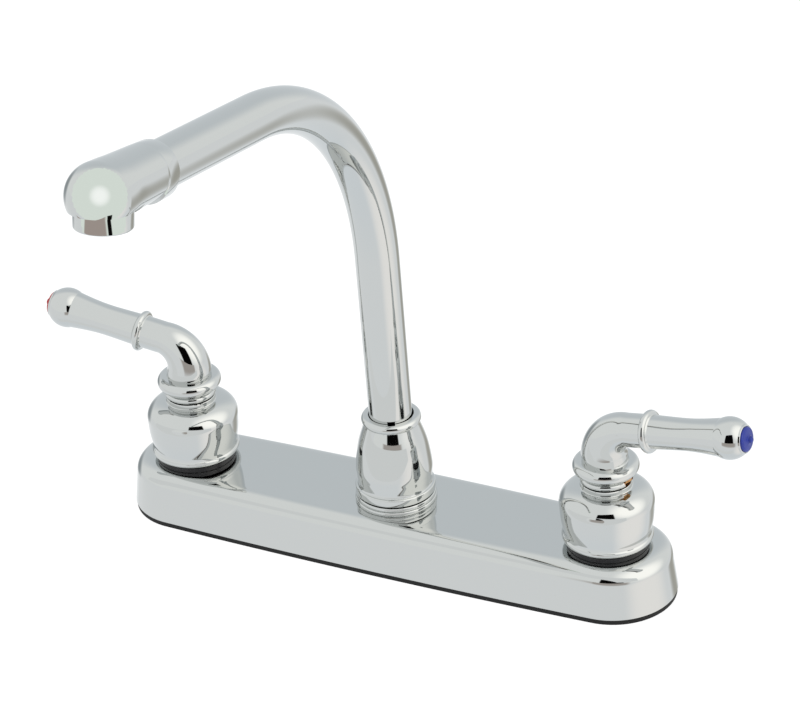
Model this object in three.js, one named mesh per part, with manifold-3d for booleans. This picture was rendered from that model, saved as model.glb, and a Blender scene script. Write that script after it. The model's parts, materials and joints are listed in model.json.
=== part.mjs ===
// Two-handle kitchen faucet on a deck plate with 8 inch centres.
// Millimetres, +Z up. The origin is the middle of the deck face, on the underside of the base gasket.
// X runs along the plate, hot at -X and cold at +X, and the spout reaches forward along -Y.
import * as THREE from 'three';
import { mergeVertices } from 'three/addons/utils/BufferGeometryUtils.js';
import Module from 'manifold-3d';

const wasm = await Module();
wasm.setup();

// ---- clearances ----
const fitGap = 0.3; // between pieces that seat in or on each other
const threadGap = 0.35; // radial, between mating threads
const runGap = 0.4; // between pieces that turn on each other

// ---- deck plate ----
const handleCentres = 203.2; // 8 inch, hot stem to cold stem
const plateHalfLength = 131.6;
const plateHalfWidth = 29.4; // at the middle, where the long edges bow out most
const plateEndRadius = 27.7;
const gasketThickness = 2.4;
const gasketInset = 0.3;
const plateTop = 24.3; // height of the flat top over the sink deck
const plateWall = 2.2;
const plateDraft = 1.9; // how far the sides lean in from the bottom to the rounded edge
const plateEdgeWidth = 8.2; // the rounded edge is a quarter of an ellipse
const plateEdgeHeight = 6.5;

// ---- underbody ----
const postRadius = 14.6;
const postBottom = gasketThickness + fitGap;
const neckRadius = 11.4; // threaded neck that comes up through the plate
const neckTop = 33;
const chamberRadius = 9.5;
const chamberFloor = 12;
const crossPipeRadius = 5.4;
const crossPipeBore = 3.4;
const seatPocketRadius = 5.2;
const seatPocketFloor = 8;
const inletBore = 3.5;
const shankSocketRadius = 8;
const shankSocketTop = 6.8;
const spoutPostRadius = 12.4;
const spoutPostTop = 39.5;
const spoutPostBore = 10.1;

// ---- supply shanks and their nuts ----
const shankRadius = 10.3; // half inch pipe thread
const shankBore = 5.6;
const shankLength = 50; // below the deck face
const washerTop = -12; // the clamped deck is this thick at most
const washerThickness = 1.6;
const washerRadius = 19;
const nutHeight = 11;
const nutHubRadius = 14.5;
const nutWingReach = 21;
const nutWingWidth = 7;
const nutWings = 4;

// ---- cartridge ----
const cartridgeTop = 35; // top of the flange that rests on the neck
const cartridgeFlangeRadius = 10.9;
const cartridgeBore = 7.8;
const cartridgeWaistRadius = 8.7; // leaves a ring of water round the side ports
const cartridgeWaistTop = 22;
const cartridgeBoreTop = 24.5;
const cartridgeBossRadius = 6.2;
const cartridgeBossTop = 41;
const portHeight = 3;
const portWidth = 6;
const discRadius = 7.4;
const discThickness = 2.5;
const discPort = 2.4; // radius of the port in each ceramic disc
const discPortOffset = 3.6;
const sealRadius = 4.8;
const sealBore = 2.2;
const sealHeight = 3.3;
const springWire = 0.8;
const springTurns = 3;
const stemRadius = 4;
const stemFootThickness = 2.6;
const stemTop = 62;
const stemFlat = 3.1; // distance from the axis to the flat that the set screw bears on
const ringSection = 1.5; // thickness of an O-ring
const stemRingHeight = 30;

// ---- bonnet nut ----
const bonnetAcross = 27; // across its flats
const bonnetTop = 38;
const bonnetFlangeRadius = 17.2;
const bonnetFlangeHeight = 1.8;

// ---- handle bell ----
const bellBottom = 27.9;
const bellBeadRadius = 1.6;
const bellFootRadius = 19.9;
const bellWaistRadius = 19;
const bellShoulderRadius = 20.6;
const bellShoulderHeight = 45.5;
const bellWall = 2;
const bellDomeTop = 53.6;
const bellDomeCentre = 9.7; // radius that the dome's arc is centred on
const bellDomeEnd = 80; // degrees of that arc, which ends at the neck
const bellTop = 55.7; // top of the short neck on the dome
const bellNeckRadius = 11.2;

// ---- lever ----
const leverTurn = 4; // degrees that both levers stand forward of the plate's line when off
const hubRadius = 10.4;
const hubBeadRadius = 11.5;
const collarHeight = 63.2;
const collarRadius = 14.4;
const collarSection = 3;
const elbowBaseRadius = 10;
const elbowOffset = 0.6; // the elbow's foot sits back from the stem's axis
const elbowStart = 69.6;
const elbowBend = 13.6;
const leverRise = 9.7; // degrees
const leverLength = 65.8; // from the stem axis to the button's face
const beadStation = 21.3;
const beadRadius = 9.3;
const beadSection = 1.5;
const leverWaistStation = 37;
const leverWaistRadius = 6.9;
const leverNeckRadius = 7.3;
const bulbStation = 58; // centre of the round end
const bulbRadius = 9.1;
const bulbNeckRadius = 8.2; // where the flared neck runs into the round end
const tipRadius = 5.95;
const tipInset = 0.5; // the metal stops this far short of the button's face
const buttonRadius = 5.3;
const buttonDepth = 3;
const buttonDome = 1;
const buttonNub = 1.7;
const screwHeight = 58.9;
const screwRadius = 2.2;
const screwLength = 4.6;

// ---- spout ----
const tubeRadius = 9.525; // three quarter inch tube
const tubeWall = 1;
const kneeHeight = 58; // where the riser starts to lean
const riserLean = 1.84; // degrees
const bendHeight = 144.9;
const bendRadius = 114;
const armRise = 10.16; // degrees
const tipReach = 204.7; // from the swivel axis to where the outlet's axis meets the arm's
const glandFlangeRadius = 11.7;
const glandFlangeThickness = 2.7;
const glandBore = 5.8;
const glandInsert = 12;
const glandFoot = 18;
const glandRings = [24, 32]; // heights of the two O-rings
const slipWasherThickness = 1.3;

// ---- spout nut and base ring ----
const baseRingRadius = 18.2; // its lower bead
const baseRingStep = 0.3; // the upper bead is this much smaller
const baseRingHeight = 4;
const baseRingGroove = 0.5;
const nutFlangeRadius = 17.7;
const nutFlangeHeight = 3.6;
const nutSeam = 0.6;
const vaseFootRadius = 16.4;
const vaseRadius = 16.9;
const vaseHeight = 42.5; // where the vase is widest
const vaseNeckRadius = 12.1;
const nutTop = 67;
const nutBeadRadius = 13.2;
const nutBeadSection = 2;
const throatGap = 0.85; // round the tube, which leans a little inside the nut

// ---- spout end and aerator ----
const ballRadius = 13;
const endSleeve = 35.7; // from the outlet's axis back to the collar's end
const endSocket = 11; // depth that the tube enters the casting
const ballLead = 2.3; // the ball's centre stands forward of the outlet's axis
const collarStart = 27.2; // where the full collar begins, under the body
const collarUnder = 11.6;
const outletBoss = 10.9;
const outletDrop = 5.2; // from the ball's centre down to the seam with the aerator
const aeratorRadius = 11.15;
const aeratorHeight = 6.9;
const aeratorWall = 1.3;
const aeratorThread = 9.2;
const aeratorThreadHeight = 4;
const aeratorLip = 1.6;

// ---- facets ----
const showSides = 20;
const innerSides = 12;
const tubeSides = 16;
const leverSides = 16;

const turn = THREE.MathUtils.degToRad;

// ---- materials ----
const finish = (color, roughness, metalness) =>
  new THREE.MeshStandardMaterial({ color, roughness, metalness });
const chrome = finish('#d3d6d8', 0.08, 1);
const brass = finish('#b08d4a', 0.35, 1);
const steel = finish('#9fa2a4', 0.35, 1);
const whitePlastic = finish('#e4e3dc', 0.5, 0);
const greyPlastic = finish('#5d6063', 0.5, 0);
const blackPlastic = finish('#232428', 0.45, 0);
const blackRubber = finish('#17181a', 0.7, 0);
const ceramic = finish('#efece4', 0.25, 0);
const hotRed = finish('#c3272b', 0.3, 0);
const coldBlue = finish('#2b3aa8', 0.3, 0);

// ---- shape helpers ----
function weld(geometry) {
  geometry.deleteAttribute('normal');
  geometry.deleteAttribute('uv');
  const welded = mergeVertices(geometry, 1e-4);
  const index = welded.getIndex().array;
  const kept = [];
  for (let i = 0; i < index.length; i += 3) {
    const [a, b, c] = [index[i], index[i + 1], index[i + 2]];
    if (a !== b && b !== c && c !== a) kept.push(a, b, c);
  }
  welded.setIndex(kept);
  return welded;
}

function toSolid(geometry) {
  const welded = weld(geometry);
  return new wasm.Manifold(new wasm.Mesh({
    numProp: 3,
    vertProperties: new Float32Array(welded.getAttribute('position').array),
    triVerts: new Uint32Array(welded.getIndex().array),
  }));
}

function fromSolid(solid) {
  const mesh = solid.getMesh();
  const geometry = new THREE.BufferGeometry();
  geometry.setAttribute('position', new THREE.BufferAttribute(mesh.vertProperties, 3));
  geometry.setIndex(new THREE.BufferAttribute(mesh.triVerts, 1));
  return geometry;
}

const cut = (body, ...tools) =>
  fromSolid(tools.reduce((solid, tool) => solid.subtract(toSolid(tool)), toSolid(body)));
const join = (body, ...others) =>
  fromSolid(others.reduce((solid, other) => solid.add(toSolid(other)), toSolid(body)));

// A body turned about Z from a closed outline of [radius, height] points, listed anticlockwise.
function turned(outline, sides = showSides) {
  const points = outline.map((p) => (Array.isArray(p) ? new THREE.Vector2(...p) : p.clone()));
  if (points[0].x > 1e-6 || points.at(-1).x > 1e-6) points.push(points[0].clone());
  return new THREE.LatheGeometry(points, sides).rotateX(Math.PI / 2);
}

// Points of an arc in the [radius, height] plane, from one angle in degrees to another.
function arc(radius, height, r, from, to, steps = 6, squash = 1) {
  return Array.from({ length: steps + 1 }, (_, i) => {
    const angle = turn(from + ((to - from) * i) / steps);
    return [radius + r * Math.cos(angle), height + r * squash * Math.sin(angle)];
  });
}

const rod = (radius, bottom, top, sides = innerSides) =>
  turned([[0, bottom], [radius, bottom], [radius, top], [0, top]], sides);
const pipe = (inner, outer, bottom, top, sides = innerSides) =>
  turned([[inner, bottom], [outer, bottom], [outer, top], [inner, top]], sides);
const ringOf = (radius, section, height, sides = innerSides) =>
  turned(arc(radius, height, section / 2, 0, 300, 5), sides);

// A closed skin through equal rings of points, with a fan on each end.
function skin(rings) {
  const count = rings[0].length;
  const positions = [];
  const index = [];
  rings.forEach((ring) => ring.forEach((p) => positions.push(p.x, p.y, p.z)));
  for (let r = 0; r + 1 < rings.length; r += 1) {
    for (let i = 0; i < count; i += 1) {
      const a = r * count + i;
      const b = r * count + ((i + 1) % count);
      index.push(a, b, a + count, b, b + count, a + count);
    }
  }
  [0, rings.length - 1].forEach((r) => {
    const middle = rings[r].reduce((sum, p) => sum.add(p), new THREE.Vector3()).divideScalar(count);
    const hub = positions.length / 3;
    positions.push(middle.x, middle.y, middle.z);
    for (let i = 0; i < count; i += 1) {
      const a = r * count + i;
      const b = r * count + ((i + 1) % count);
      index.push(...(r === 0 ? [hub, b, a] : [hub, a, b]));
    }
  });
  const geometry = new THREE.BufferGeometry();
  geometry.setAttribute('position', new THREE.Float32BufferAttribute(positions, 3));
  geometry.setIndex(index);
  return geometry;
}

// ---- deck plate, gasket ----
// The outline is two long bowed edges and two round ends, each tangent to the next.
const endCentre = plateHalfLength - plateEndRadius;
const bowRadius = (endCentre ** 2 + plateHalfWidth ** 2 - plateEndRadius ** 2)
  / (2 * (plateHalfWidth - plateEndRadius));
const bowAngle = Math.asin(endCentre / (bowRadius - plateEndRadius));

function plateOutline(inset, height) {
  const points = [];
  const bowCentre = bowRadius - plateHalfWidth;
  const bowSteps = 6;
  const endSteps = 14;
  for (const side of [1, -1]) {
    for (let i = 0; i < bowSteps; i += 1) {
      const angle = bowAngle * ((2 * i) / bowSteps - 1);
      const reach = bowRadius - inset;
      points.push([side * reach * Math.sin(angle), side * (bowCentre - reach * Math.cos(angle))]);
    }
    for (let i = 0; i < endSteps; i += 1) {
      const angle = -Math.PI / 2 + bowAngle + ((Math.PI - 2 * bowAngle) * i) / endSteps;
      const reach = plateEndRadius - inset;
      points.push([side * (endCentre + reach * Math.cos(angle)), side * reach * Math.sin(angle)]);
    }
  }
  return points.map(([x, y]) => new THREE.Vector3(x, y, height));
}

function plateBlock(wall, bottom, steps) {
  const top = plateTop - wall;
  const edgeWidth = plateEdgeWidth - wall;
  const edgeHeight = plateEdgeHeight - wall;
  const edgeBottom = top - edgeHeight;
  const rings = [plateOutline(wall, bottom), plateOutline(wall + plateDraft, edgeBottom)];
  for (let i = 1; i <= steps; i += 1) {
    const angle = (Math.PI / 2) * (i / steps);
    const inset = wall + plateDraft + edgeWidth * (1 - Math.cos(angle));
    rings.push(plateOutline(inset, edgeBottom + edgeHeight * Math.sin(angle)));
  }
  return skin(rings);
}

const stations = { hot: -handleCentres / 2, cold: handleCentres / 2 };
const atStations = (make) => Object.values(stations).map((x) => make().translate(x, 0, 0));
const through = (radius, bottom, top) => rod(radius, bottom, top, showSides);

function deckCover() {
  return cut(
    plateBlock(0, gasketThickness, 4),
    plateBlock(plateWall, gasketThickness - 1, 3),
    ...atStations(() => through(neckRadius + fitGap, gasketThickness, plateTop + 1)),
    through(spoutPostRadius + fitGap, gasketThickness, plateTop + 1),
  );
}

function baseGasket() {
  const plate = skin([plateOutline(gasketInset, 0), plateOutline(gasketInset, gasketThickness)]);
  return cut(plate, ...atStations(() => through(shankRadius + fitGap, -1, gasketThickness + 1)));
}

// ---- underbody ----
const coverUnderside = plateTop - plateWall;
const crossPipeHeight = coverUnderside - fitGap - crossPipeRadius;

function underbody() {
  const valvePost = () => turned([
    [0, postBottom],
    [postRadius, postBottom],
    [postRadius, coverUnderside - fitGap],
    [neckRadius, coverUnderside - fitGap],
    [neckRadius, neckTop],
    [0, neckTop],
  ], showSides);
  const valveBore = () => turned([
    [0, postBottom - 1],
    [shankSocketRadius, postBottom - 1],
    [shankSocketRadius, shankSocketTop],
    [inletBore, shankSocketTop],
    [inletBore, seatPocketFloor],
    [seatPocketRadius, seatPocketFloor],
    [seatPocketRadius, chamberFloor],
    [chamberRadius, chamberFloor],
    [chamberRadius, neckTop + 1],
    [0, neckTop + 1],
  ], innerSides);
  const spoutPost = turned([
    [0, postBottom],
    [postRadius, postBottom],
    [postRadius, coverUnderside - fitGap],
    [spoutPostRadius, coverUnderside - fitGap],
    [spoutPostRadius, spoutPostTop],
    [0, spoutPostTop],
  ], showSides);
  const crossPipe = (radius, length) =>
    new THREE.CylinderGeometry(radius, radius, length, innerSides)
      .rotateZ(Math.PI / 2)
      .translate(0, 0, crossPipeHeight);
  const body = join(spoutPost, crossPipe(crossPipeRadius, handleCentres), ...atStations(valvePost));
  return cut(
    body,
    crossPipe(crossPipeBore, handleCentres - 2 * chamberRadius + 1),
    rod(spoutPostBore, chamberFloor, spoutPostTop + 1, showSides),
    ...atStations(valveBore),
  );
}

// ---- supply side, one set at each station ----
function inletShank() {
  const spigot = shankSocketRadius - threadGap;
  return turned([
    [shankBore, -shankLength],
    [shankRadius - 1, -shankLength],
    [shankRadius, -shankLength + 1],
    [shankRadius, postBottom - fitGap],
    [spigot, postBottom - fitGap],
    [spigot, shankSocketTop - fitGap],
    [shankBore, shankSocketTop - fitGap],
  ], innerSides);
}

const nutBore = shankRadius + threadGap;
const nutTopFace = washerTop - washerThickness;

function mountingWasher() {
  return pipe(nutBore + fitGap, washerRadius, nutTopFace, washerTop, showSides);
}

function mountingNut() {
  const wing = new THREE.BoxGeometry(nutWingReach * 2, nutWingWidth, nutHeight * 0.7);
  wing.translate(0, 0, nutTopFace - nutHeight * 0.65);
  const wings = Array.from({ length: nutWings / 2 }, (_, i) =>
    wing.clone().rotateZ((2 * Math.PI * i) / nutWings));
  const hub = rod(nutHubRadius, nutTopFace - nutHeight, nutTopFace, showSides);
  return fromSolid(
    toSolid(join(hub, ...wings)).subtract(toSolid(rod(nutBore, nutTopFace - nutHeight - 1, nutTopFace + 1))),
  );
}

// ---- cartridge, stacked from the seat upwards ----
const sealBottom = chamberFloor - fitGap;
const fixedDiscBottom = sealBottom + sealHeight + fitGap;
const movingDiscBottom = fixedDiscBottom + discThickness + fitGap;
const stemFoot = movingDiscBottom + discThickness + fitGap;
const ringGrooveRadius = stemRadius - ringSection / 2;

function seatSpring() {
  const bottom = seatPocketFloor + fitGap;
  const height = sealBottom - fitGap - bottom;
  const sides = 5;
  const stepsPerTurn = 8;
  const coilRadius = seatPocketRadius - fitGap - springWire / 2;
  const wireRadius = springWire / 2;
  const rings = [];
  for (let i = 0; i <= springTurns * stepsPerTurn; i += 1) {
    const angle = (2 * Math.PI * i) / stepsPerTurn;
    const climb = (height - springWire) / (springTurns * stepsPerTurn);
    const ring = [];
    for (let s = 0; s < sides; s += 1) {
      const around = (-2 * Math.PI * s) / sides;
      const reach = coilRadius + wireRadius * Math.cos(around);
      ring.push(new THREE.Vector3(
        reach * Math.cos(angle),
        reach * Math.sin(angle),
        bottom + wireRadius + climb * i + wireRadius * Math.sin(around),
      ));
    }
    rings.push(ring);
  }
  return skin(rings);
}

const seatSeal = () => pipe(sealBore, sealRadius, sealBottom, sealBottom + sealHeight);

function ceramicDisc(bottom) {
  const port = rod(discPort, bottom - 1, bottom + discThickness + 1).translate(discPortOffset, 0, 0);
  return cut(rod(discRadius, bottom, bottom + discThickness), port);
}

function cartridgeHousing() {
  const shell = turned([
    [cartridgeBore, fixedDiscBottom],
    [cartridgeWaistRadius, fixedDiscBottom],
    [cartridgeWaistRadius, cartridgeWaistTop],
    [chamberRadius - fitGap, cartridgeWaistTop],
    [chamberRadius - fitGap, neckTop + fitGap],
    [cartridgeFlangeRadius, neckTop + fitGap],
    [cartridgeFlangeRadius, cartridgeTop],
    [cartridgeBossRadius, cartridgeTop],
    [cartridgeBossRadius, cartridgeBossTop],
    [stemRadius + runGap, cartridgeBossTop],
    [stemRadius + runGap, cartridgeBoreTop],
    [cartridgeBore, cartridgeBoreTop],
  ], innerSides);
  const port = new THREE.BoxGeometry(portWidth, chamberRadius * 3, portHeight);
  port.translate(0, 0, movingDiscBottom + portHeight / 2);
  return cut(shell, port.rotateZ(Math.PI / 2));
}

function stem() {
  const shaft = turned([
    [0, stemFoot],
    [discRadius, stemFoot],
    [discRadius, stemFoot + stemFootThickness],
    [stemRadius, stemFoot + stemFootThickness],
    [stemRadius, stemRingHeight - ringSection / 2],
    [ringGrooveRadius, stemRingHeight - ringSection / 2],
    [ringGrooveRadius, stemRingHeight + ringSection / 2],
    [stemRadius, stemRingHeight + ringSection / 2],
    [stemRadius, stemTop],
    [0, stemTop],
  ], innerSides);
  const flat = new THREE.BoxGeometry(stemRadius, stemRadius * 3, stemTop - screwHeight + 6);
  flat.translate(stemFlat + stemRadius / 2, 0, stemTop - (stemTop - screwHeight) / 2);
  return cut(shaft, flat);
}

// An O-ring in a groove: it leaves a hair of clearance to the groove and to the bore around it.
function grooveRing(groove, bore, height) {
  const section = bore - groove - 0.2;
  return ringOf((groove + bore) / 2, Math.min(section, ringSection - 0.2), height);
}

const stemRing = () => grooveRing(ringGrooveRadius, stemRadius + runGap, stemRingHeight);

// ---- bonnet nut ----
function bonnetNut() {
  const hex = new THREE.CylinderGeometry(
    bonnetAcross / Math.sqrt(3), bonnetAcross / Math.sqrt(3), bonnetTop - plateTop, 6,
  ).rotateX(Math.PI / 2).translate(0, 0, (bonnetTop + plateTop) / 2);
  const flange = rod(bonnetFlangeRadius, plateTop, plateTop + bonnetFlangeHeight, showSides);
  const bore = turned([
    [0, plateTop - 1],
    [neckRadius + threadGap, plateTop - 1],
    [neckRadius + threadGap, cartridgeTop + fitGap],
    [cartridgeBossRadius + fitGap, cartridgeTop + fitGap],
    [cartridgeBossRadius + fitGap, bonnetTop + 1],
    [0, bonnetTop + 1],
  ]);
  return fromSolid(toSolid(join(hex, flange)).subtract(toSolid(bore)));
}

// ---- handle bell: a thin skirt that hides the bonnet nut ----
function bell() {
  const beadCentre = bellFootRadius - bellBeadRadius;
  const domeRadius = bellShoulderRadius - bellDomeCentre;
  const domeSquash = (bellDomeTop - bellShoulderHeight) / domeRadius;
  const innerRadius = domeRadius - bellWall;
  const innerSquash = (bellDomeTop - bellWall - bellShoulderHeight) / innerRadius;
  return turned([
    [beadCentre - 1, bellBottom],
    ...arc(beadCentre, bellBottom + bellBeadRadius, bellBeadRadius, -90, 50, 3),
    [bellWaistRadius, bellBottom + bellBeadRadius * 2.6],
    [(bellWaistRadius + bellShoulderRadius) / 2 + 0.3, (bellBottom + bellShoulderHeight) / 2 + 1],
    ...arc(bellDomeCentre, bellShoulderHeight, domeRadius, 0, bellDomeEnd, 5, domeSquash),
    [bellNeckRadius, bellDomeTop + 0.1],
    [bellNeckRadius, bellTop],
    [stemRadius + 1, bellTop],
    [stemRadius + 1, bellDomeTop - bellWall],
    ...arc(bellDomeCentre, bellShoulderHeight, innerRadius, 90, 0, 3, innerSquash),
    [beadCentre - 1, bellBottom + bellBeadRadius * 2],
  ]);
}

// ---- lever: hub, collar, elbow and lever in one casting ----
// Built pointing along +X and turned to its place afterwards.
const rise = turn(leverRise);
const elbowSweep = Math.PI / 2 - rise;
const hubBottom = bellTop + fitGap;

// Point and direction of the lever's centreline, by its distance out from the stem axis.
const elbowEnd = {
  x: elbowBend * (1 - Math.cos(elbowSweep)) - elbowOffset,
  z: elbowStart + elbowBend * Math.sin(elbowSweep),
};
function leverPoint(station) {
  return new THREE.Vector3(station, 0, elbowEnd.z + (station - elbowEnd.x) * Math.tan(rise));
}

function leverRing(centre, tilt, radius) {
  return Array.from({ length: leverSides }, (_, i) => {
    const angle = (2 * Math.PI * i) / leverSides;
    const along = -radius * Math.cos(angle);
    return new THREE.Vector3(
      centre.x - along * Math.cos(tilt),
      centre.y + radius * Math.sin(angle),
      centre.z + along * Math.sin(tilt),
    );
  });
}

// Radius of the lever along its length: a waist, and a neck that flares until it meets the round end.
const bulbStart = bulbStation - Math.sqrt(bulbRadius ** 2 - bulbNeckRadius ** 2);
const leverOutline = new THREE.SplineCurve([
  new THREE.Vector2(elbowEnd.x, leverNeckRadius),
  new THREE.Vector2(beadStation, leverNeckRadius),
  new THREE.Vector2(leverWaistStation, leverWaistRadius),
  new THREE.Vector2((leverWaistStation + bulbStart) / 2, leverWaistRadius + 0.35),
  new THREE.Vector2(bulbStart, bulbNeckRadius),
]).getPoints(60);

function leverRadius(station) {
  const next = Math.max(leverOutline.findIndex((p) => p.x >= station), 1);
  const [a, b] = [leverOutline[next - 1], leverOutline[next]];
  return a.y + ((b.y - a.y) * (station - a.x)) / (b.x - a.x);
}

function lever() {
  const rings = [leverRing(new THREE.Vector3(-elbowOffset, 0, collarHeight - 1), 0, elbowBaseRadius)];
  const elbowSteps = 6;
  for (let i = 0; i <= elbowSteps; i += 1) {
    const tilt = (elbowSweep * i) / elbowSteps;
    const centre = new THREE.Vector3(
      elbowBend * (1 - Math.cos(tilt)) - elbowOffset, 0, elbowStart + elbowBend * Math.sin(tilt),
    );
    const share = i / elbowSteps;
    rings.push(leverRing(centre, tilt, elbowBaseRadius + (leverRadius(elbowEnd.x) - elbowBaseRadius) * share));
  }
  const armStart = elbowEnd.x + 3;
  const armSteps = 7;
  for (let i = 0; i <= armSteps; i += 1) {
    const station = armStart + ((bulbStart - armStart) * i) / armSteps;
    rings.push(leverRing(leverPoint(station), elbowSweep, leverRadius(station)));
  }
  for (const angle of [-12, 0, 16, 32, 46]) {
    const station = bulbStation + bulbRadius * Math.sin(turn(angle));
    rings.push(leverRing(leverPoint(station), elbowSweep, bulbRadius * Math.cos(turn(angle))));
  }
  rings.push(leverRing(leverPoint(leverLength - tipInset), elbowSweep, tipRadius));

  const hub = turned([
    [0, hubBottom],
    [hubBeadRadius - 0.8, hubBottom],
    ...arc(hubBeadRadius - 1.4, hubBottom + 1.6, 1.5, -60, 60, 3),
    [hubRadius, hubBottom + 3.6],
    [hubRadius, collarHeight - collarSection],
    ...arc(collarRadius - collarSection, collarHeight, collarSection, -75, 90, 5),
    [0, collarHeight + collarSection],
  ], leverSides);
  const bead = turned(arc(beadRadius - beadSection, 0, beadSection, -90, 90, 5)
    .concat([[0, beadSection], [0, -beadSection]]), leverSides);
  bead.rotateY(elbowSweep);
  bead.translate(...leverPoint(beadStation).toArray());

  const stemBore = rod(stemRadius + fitGap, hubBottom - 1, stemTop + fitGap);
  const screwBore = rod(screwRadius + threadGap, 0, collarRadius + 1)
    .rotateY(Math.PI / 2).translate(0, 0, screwHeight);
  const buttonBore = rod(buttonRadius + fitGap, -buttonDepth, 2)
    .rotateY(elbowSweep).translate(...leverPoint(leverLength).toArray());
  return fromSolid(
    toSolid(join(skin(rings), hub, bead))
      .subtract(toSolid(stemBore))
      .subtract(toSolid(screwBore))
      .subtract(toSolid(buttonBore)),
  );
}

function indexButton() {
  const face = buttonDome;
  const button = turned([
    [0, -buttonDepth + fitGap],
    [buttonRadius, -buttonDepth + fitGap],
    [buttonRadius, 0],
    [buttonRadius * 0.85, face * 0.6],
    [buttonRadius * 0.35, face],
    [buttonRadius * 0.26, face + buttonNub * 0.7],
    [0, face + buttonNub],
  ], leverSides);
  return button.rotateY(elbowSweep).translate(...leverPoint(leverLength).toArray());
}

function handleScrew() {
  return rod(screwRadius, stemFlat + fitGap, stemFlat + fitGap + screwLength)
    .rotateY(Math.PI / 2).translate(0, 0, screwHeight);
}

// ---- spout ----
const lean = turn(riserLean);
const climb = turn(armRise);
const tubeBottom = spoutPostTop + fitGap + glandFlangeThickness;

// Centreline of the tube in the plane x = 0: straight up, a slight lean, one bend, a rising arm.
class SpoutLine extends THREE.Curve {
  constructor(reach) {
    super();
    const knee = new THREE.Vector2(0, kneeHeight);
    const bendStart = new THREE.Vector2((bendHeight - kneeHeight) * Math.tan(lean), bendHeight);
    const bendCentre = new THREE.Vector2(
      bendStart.x + bendRadius * Math.cos(lean), bendStart.y - bendRadius * Math.sin(lean),
    );
    this.bendCentre = bendCentre;
    const bendEnd = this.onBend(climb);
    const end = new THREE.Vector2(reach, bendEnd.y + (reach - bendEnd.x) * Math.tan(climb));
    this.pieces = [
      [new THREE.Vector2(0, tubeBottom), knee],
      [knee, bendStart],
      [bendEnd, end],
    ];
    this.bendSweep = Math.PI / 2 - lean - climb;
    this.lengths = [
      knee.y - tubeBottom, knee.distanceTo(bendStart), bendRadius * this.bendSweep, bendEnd.distanceTo(end),
    ];
    this.total = this.lengths.reduce((a, b) => a + b, 0);
  }

  onBend(slope) {
    return new THREE.Vector2(
      this.bendCentre.x - bendRadius * Math.sin(slope), this.bendCentre.y + bendRadius * Math.cos(slope),
    );
  }

  getPoint(t, target = new THREE.Vector3()) {
    const [foot, riser, bend, arm] = this.lengths;
    const along = t * this.total;
    let p;
    if (along < foot) {
      p = this.pieces[0][0].clone().lerp(this.pieces[0][1], along / foot);
    } else if (along < foot + riser) {
      p = this.pieces[1][0].clone().lerp(this.pieces[1][1], (along - foot) / riser);
    } else if (along < foot + riser + bend) {
      const share = (along - foot - riser) / bend;
      p = this.onBend(Math.PI / 2 - lean - share * this.bendSweep);
    } else {
      const share = (along - foot - riser - bend) / arm;
      p = this.pieces[2][0].clone().lerp(this.pieces[2][1], share);
    }
    return target.set(0, -p.x, p.y);
  }
}

const tip = new SpoutLine(tipReach).getPoint(1);

// Turns a body built on +Z so that it points back from the outlet along the rising arm.
const alongArm = (geometry) => geometry.rotateX(-Math.PI / 2 - climb).translate(...tip.toArray());
// Turns a body built on +Z onto the outlet's axis, which is square to the arm.
const onOutlet = (geometry) => geometry.rotateX(-climb).translate(...tip.toArray());

function spoutTube() {
  const line = new SpoutLine(tipReach - (endSleeve - endSocket) * Math.cos(climb));
  const section = new THREE.Shape().absarc(0, 0, tubeRadius, 0, 2 * Math.PI);
  section.holes.push(new THREE.Path().absarc(0, 0, tubeRadius - tubeWall, 0, 2 * Math.PI, true));
  return new THREE.ExtrudeGeometry(section, {
    steps: 24, curveSegments: tubeSides / 2, bevelEnabled: false, extrudePath: line,
  });
}

function spoutGland() {
  const insert = tubeRadius - tubeWall - fitGap;
  const spigot = spoutPostBore - runGap;
  const groove = spigot - ringSection;
  const flange = spoutPostTop + fitGap;
  const grooves = glandRings.flatMap((height) => [
    [spigot, height - ringSection / 2 - 0.15],
    [groove, height - ringSection / 2 - 0.15],
    [groove, height + ringSection / 2 + 0.15],
    [spigot, height + ringSection / 2 + 0.15],
  ]);
  return turned([
    [glandBore, glandFoot],
    [spigot, glandFoot],
    ...grooves,
    [spigot, flange],
    [glandFlangeRadius, flange],
    [glandFlangeRadius, tubeBottom - fitGap],
    [insert, tubeBottom - fitGap],
    [insert, tubeBottom - fitGap + glandInsert],
    [glandBore, tubeBottom - fitGap + glandInsert],
  ]);
}

const spoutRing = (height) =>
  grooveRing(spoutPostBore - runGap - ringSection, spoutPostBore, height);

function slipWasher() {
  return pipe(
    tubeRadius + fitGap, glandFlangeRadius, tubeBottom, tubeBottom + slipWasherThickness, showSides,
  );
}

// ---- spout nut and the ring below it ----
const baseRingTop = plateTop + baseRingHeight;
const nutBottom = baseRingTop + nutSeam;

function baseRing() {
  const beadHeight = baseRingHeight / 2;
  const bead = (radius, bottom) => arc(
    radius - baseRingGroove, bottom + beadHeight / 2, baseRingGroove, -80, 80, 4,
    beadHeight / 2 / baseRingGroove,
  );
  return turned([
    [spoutPostRadius + fitGap, plateTop],
    ...bead(baseRingRadius, plateTop),
    ...bead(baseRingRadius - baseRingStep, plateTop + beadHeight),
    [spoutPostRadius + fitGap, baseRingTop],
  ]);
}

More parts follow.
